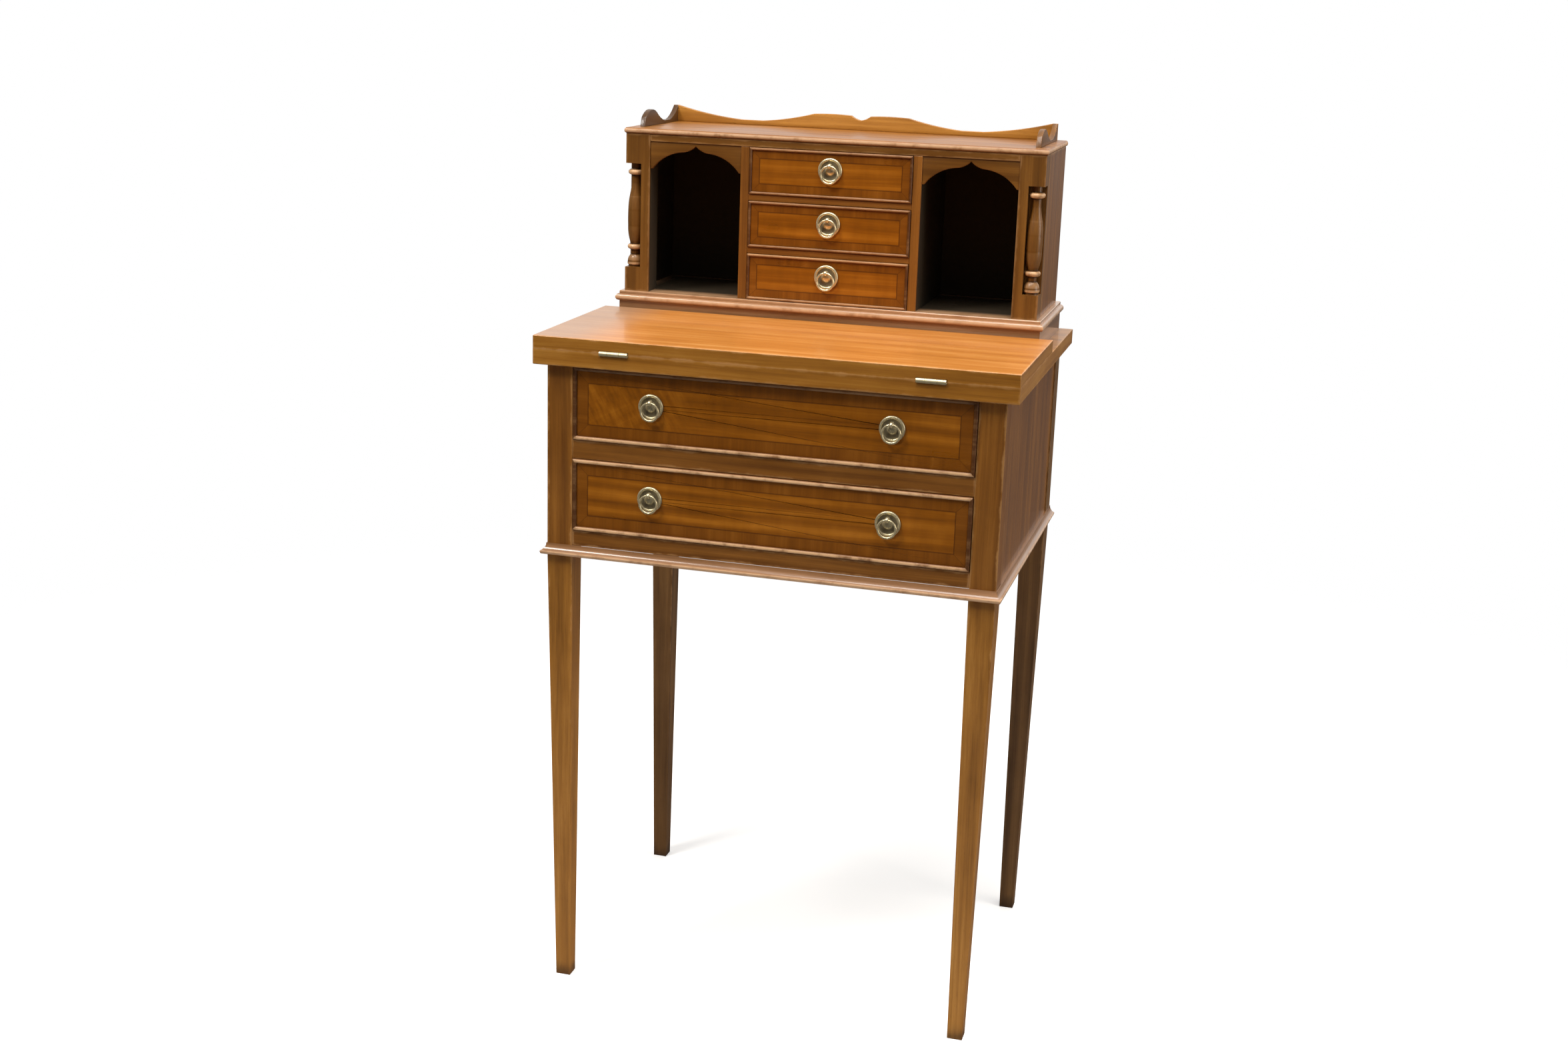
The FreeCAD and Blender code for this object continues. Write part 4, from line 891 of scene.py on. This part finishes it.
# Under each side panel the strip goes inwards, so that it closes the foot of the panel.
inner, foot, head = box_of("side_panel_right")[0][0], low[2] + 0.002, high[2]
tongue = np.array([[[inner, y, foot], [half, y, foot], [half, y, head], [inner, y, head]]
                   for y in (box_of("post_front_right")[1][1], box_of("post_back_right")[0][1])])
shapes = [skin(rings), skin(tongue), skin(tongue * (-1, 1, 1))]
crest_sheen = np.concatenate([np.tile(crest_sheen, 4), np.zeros(2 * tongue.size // 3)])
piece("foot_moulding", shapes, "base_moulding",
      wood("foot_moulding_wood", "ledge", "x", returned(high[0], low[1], "ledge"),
           painted_crests_and_hollows("ledge")),
      (crest_sheen, 0 * crest_sheen))
print("moulding", round(2 * half * 1000), "mm wide")

# %% [markdown]
# ## Slabs with a moulded edge
# The plinth has a rounded nose between two flat steps, and the top board is a thin slab with a
# rounded edge. Both are a list of heights, each with how far the edge stands in. The back edge
# stays where it is, because it stands against nothing that would show a moulding.

# %% The plinth and the top board
def nose(foot, head, reach, steps=16):
    """A half-round nose between two heights: e = reach (1 - sin t), z from foot to head as -cos t.
    Its middle half is its crest: 3 sin t - 2, held between 0 and 1."""
    t = np.linspace(0, np.pi, steps + 1)
    edge = np.stack([reach * (1 - np.sin(t)), (foot + head) / 2 - (head - foot) / 2 * np.cos(t)], 1)
    return edge, np.clip(3 * np.sin(t) - 2, 0, 1)


def moulded(name, node, edge, crest_sheen, material):
    """A slab: ring i is the rectangle at height z_i, drawn in by e_i at the sides and the front,
    with one crest mark."""
    (x0, y0, _), (x1, y1, _) = box_of(node)
    e, z = edge.T
    corners = ((x0 + e, y0 + e), (x1 - e, y0 + e), (x1 - e, y1 + 0 * e), (x0 + e, y1 + 0 * e))
    rings = np.stack([np.stack([x, y, z], 1) for x, y in corners], 1)
    crest_sheen = np.repeat(crest_sheen, 4)
    piece(name, [skin(rings)], node, material, (crest_sheen, 0 * crest_sheen))


low, high = box_of("plinth")
LIP, NOSE_TALL, NOSE_REACH, SOFT, FADE = 0.0035, 0.008, 0.004, 0.0006, 0.01
edge, crest_sheen = nose(high[2] - LIP - NOSE_TALL, high[2] - LIP, NOSE_REACH)
edge = np.concatenate([[(NOSE_REACH, low[2])], edge,
                       [(NOSE_REACH, high[2] - SOFT), (NOSE_REACH + SOFT, high[2])]])
# The nose's crest, and 0.6 and 0.5 on the top edge, are painted pale as a painted highlight. Behind
# the front the pigeonholes' floor is painted dark: painted shade.
moulded("plinth_board", "plinth", edge, [0, *crest_sheen, 0.6, 0.5],
        wood("plinth_wood", "ledge", "x", returned(high[0], low[1], "ledge", 0.012),
             painted_crests_and_hollows("ledge"),
             shaded_inside((HOLE_LOW[0], FACE + FADE, HOLE_LOW[2]), HOLE_HIGH, 2 * FADE)))
low, high = box_of("top_board")
# The cap's rounded edge is painted pale on its crest: a painted highlight.
moulded("cap_board", "top_board", *nose(low[2], high[2], 0.0028),
        wood("cap_wood", "post", "x", painted_crests_and_hollows("ledge")))
print("plinth and top board moulded")

# %% [markdown]
# ## Fretted boards
# The arches over the pigeonholes and the gallery are sawn from thin board along a drawn line,
# and the sawn edge is softened with a file. A bevel on a tight curve can fold over itself, so
# here the outline itself is stepped in: each point moves along the bisector of its two edges by
# a quarter round, and both flat faces are closed as single faces.

# %% An outline with filed edges
def filed(outline, near, far, soft=0.0007, steps=3):
    """Loop k is the outline drawn in by soft (1 - sin a_k) at depth near + soft (1 - cos a_k), and
    the same from the far face. Drawn in means along the bisector, over the cosine of the half
    turn. Points that repeat the one before are left out."""
    outline = outline[np.hypot(*(outline - np.roll(outline, 1, 0)).T) > 1e-6]
    way = np.roll(outline, -1, 0) - outline
    way /= np.hypot(*way.T)[:, None]
    left = np.stack([-way[:, 1], way[:, 0]], 1)
    both = left + np.roll(left, 1, 0)
    bisector = both / np.maximum((both ** 2).sum(1, keepdims=True) / 2, 0.3)
    a = np.linspace(0, np.pi / 2, steps + 1)
    inset, sunk = soft * (1 - np.sin(a)), soft * (1 - np.cos(a))
    inset, depth = np.append(inset, inset[::-1]), np.append(near + sunk, far - sunk[::-1])
    return outline + inset[:, None, None] * bisector, depth


def standing(outline, near, far, across=0):
    """A fretted board standing up: the outline's (u, v) become (x, z), or (y, z) where across is
    1, and depth the third."""
    loops, depth = filed(outline, near, far)
    rings = np.zeros((*loops.shape[:2], 3))
    rings[..., [across, 2]] = loops
    rings[..., 1 - across] = depth[:, None]
    return skin(rings)


print("outlines can be filed")

# %% The arches of the pigeonholes
low, high = box_of("fret_arches")
drop, head = high[2] - low[2], high[2]
half = 0.0545
middle = high[0] - half
toe, shoulder, tip, ogee = half - 0.0025, 0.0108, 0.0032, 0.015
arch = drawn([(-half, 0), (-half, -drop), (-toe, -drop), (-ogee, -shoulder, 0.15 * drop),
              (0, -tip, -0.1 * ogee), (ogee, -shoulder, -0.1 * ogee),
              (toe, -drop, 0.15 * drop), (half, -drop), (half, 0)], 16)
piece("pigeonhole_arches",
      [standing(arch + (side * middle, head), low[1], high[1]) for side in (-1, 1)],
      "fret_arches", wood("arch_wood", "fret", "x"), sharp=50)
print("arches", round(2 * half * 1000), "mm wide")

# %% The gallery
low, high = box_of("gallery_back")
half, rise, low_part, dip = high[0], 0.019, 0.0055, 0.0115
right = [(half, 0), (half, rise), (0.975 * half, rise), (0.63 * half, low_part, 0.1 * rise),
         (0.52 * half, low_part), (0.25 * half, 0.87 * rise, 0.08 * rise),
         (0.05 * half, 0.87 * rise, -0.04 * rise), (0, dip, 0.04 * rise)]
left = [(-u, v, *after[2:]) for (u, v, *_), after in zip(right[-2::-1], right[:0:-1])]
crown = drawn(right + left, 14) + (0, low[2])
piece("gallery_back_board", [standing(crown, low[1], high[1])], "gallery_back",
      wood("gallery_wood", "leg", "x"), sharp=50)

low, high = box_of("gallery_returns")
run, thick = (high[1] - low[1]) / 0.98, 0.006
side_line = drawn([(0.02 * run, 0), (run, 0), (run, rise),
                   (0.75 * run, 0.7 * low_part, 0.13 * rise), (0.6 * run, 0.7 * low_part),
                   (0.38 * run, 0.72 * rise, 0.07 * rise),
                   (0.05 * run, 0.55 * rise, -0.34 * rise), (0.02 * run, 0)], 14)
side_line += (high[1] - run, low[2])
# The side boards take the darker fret wood, and the left one is darkened further towards its left
# end: painted shade.
piece("gallery_side_boards",
      [standing(side_line, x, x + thick, across=1) for x in (low[0], high[0] - thick)],
      "gallery_returns", wood("gallery_side_shaded_wood", "fret", "y",
                              painted_left_end(-0.1, 0.1, low[2], (58, 38, 20), 0.8)), sharp=50)
print("gallery", round(2 * half * 1000), "mm wide")

# %% [markdown]
# ## The ring pulls
# Each pull is a pressed brass rose with a raised rim and a domed boss, an eye above the boss,
# and a ring that hangs from it. The frame already has the rose with its bored eye, fine enough
# to show close up, so it only gets its metal. The ring is made again, because a cast ring isn't
# a perfect torus: its wire is thickest at the bottom, where the finger takes it.

# %% Rings and roses
def hanging_ring(low, high, steps=72, sides=20):
    """Wire radius w(t) = w0 (0.94 - 0.06 cos t), t = 0 at the top, round a circle of radius R - w0;
    point = centre + (R - w0 + w cos s)(sin t, cos t) in x and z, w sin s in y."""
    outer, wire = (high[0] - low[0]) / 2, (high[1] - low[1]) / 2
    centre = (np.array(low) + high) / 2
    t = np.linspace(0, 2 * np.pi, steps, endpoint=False)[:, None]
    s = np.linspace(0, 2 * np.pi, sides, endpoint=False)[None]
    w = wire * (0.94 - 0.06 * np.cos(t))
    r = outer - wire + w * np.cos(s)
    return centre + np.stack([r * np.sin(t), w * np.sin(s) + 0 * t, r * np.cos(t)], -1)


RING_BRASS = brass("ring_brass", 1.1)
FITTING_BRASS = brass("fitting_brass", 0.7, tarnish=0.2)
RIM_PROUD, FLOOR_PROUD = 0.0024, 0.0009
FITTINGS = [n for n in frame["nodes"] if "_ring" in n or "_pull_rose" in n or "hinge" in n]
for node in FITTINGS:
    if "_ring" in node:
        piece(node + "_wire", [skin(hanging_ring(*box_of(node)), loop=True)], node, RING_BRASS)
    elif "_pull_rose" in node:
        face = box_of(node.split("_pull")[0] + "_front")[0][1]
        dress(node, brass(node + "_brass", depth=(face - RIM_PROUD, face - FLOOR_PROUD)))
    else:
        dress(node, FITTING_BRASS)
print("brass on", len(FITTINGS), "nodes")
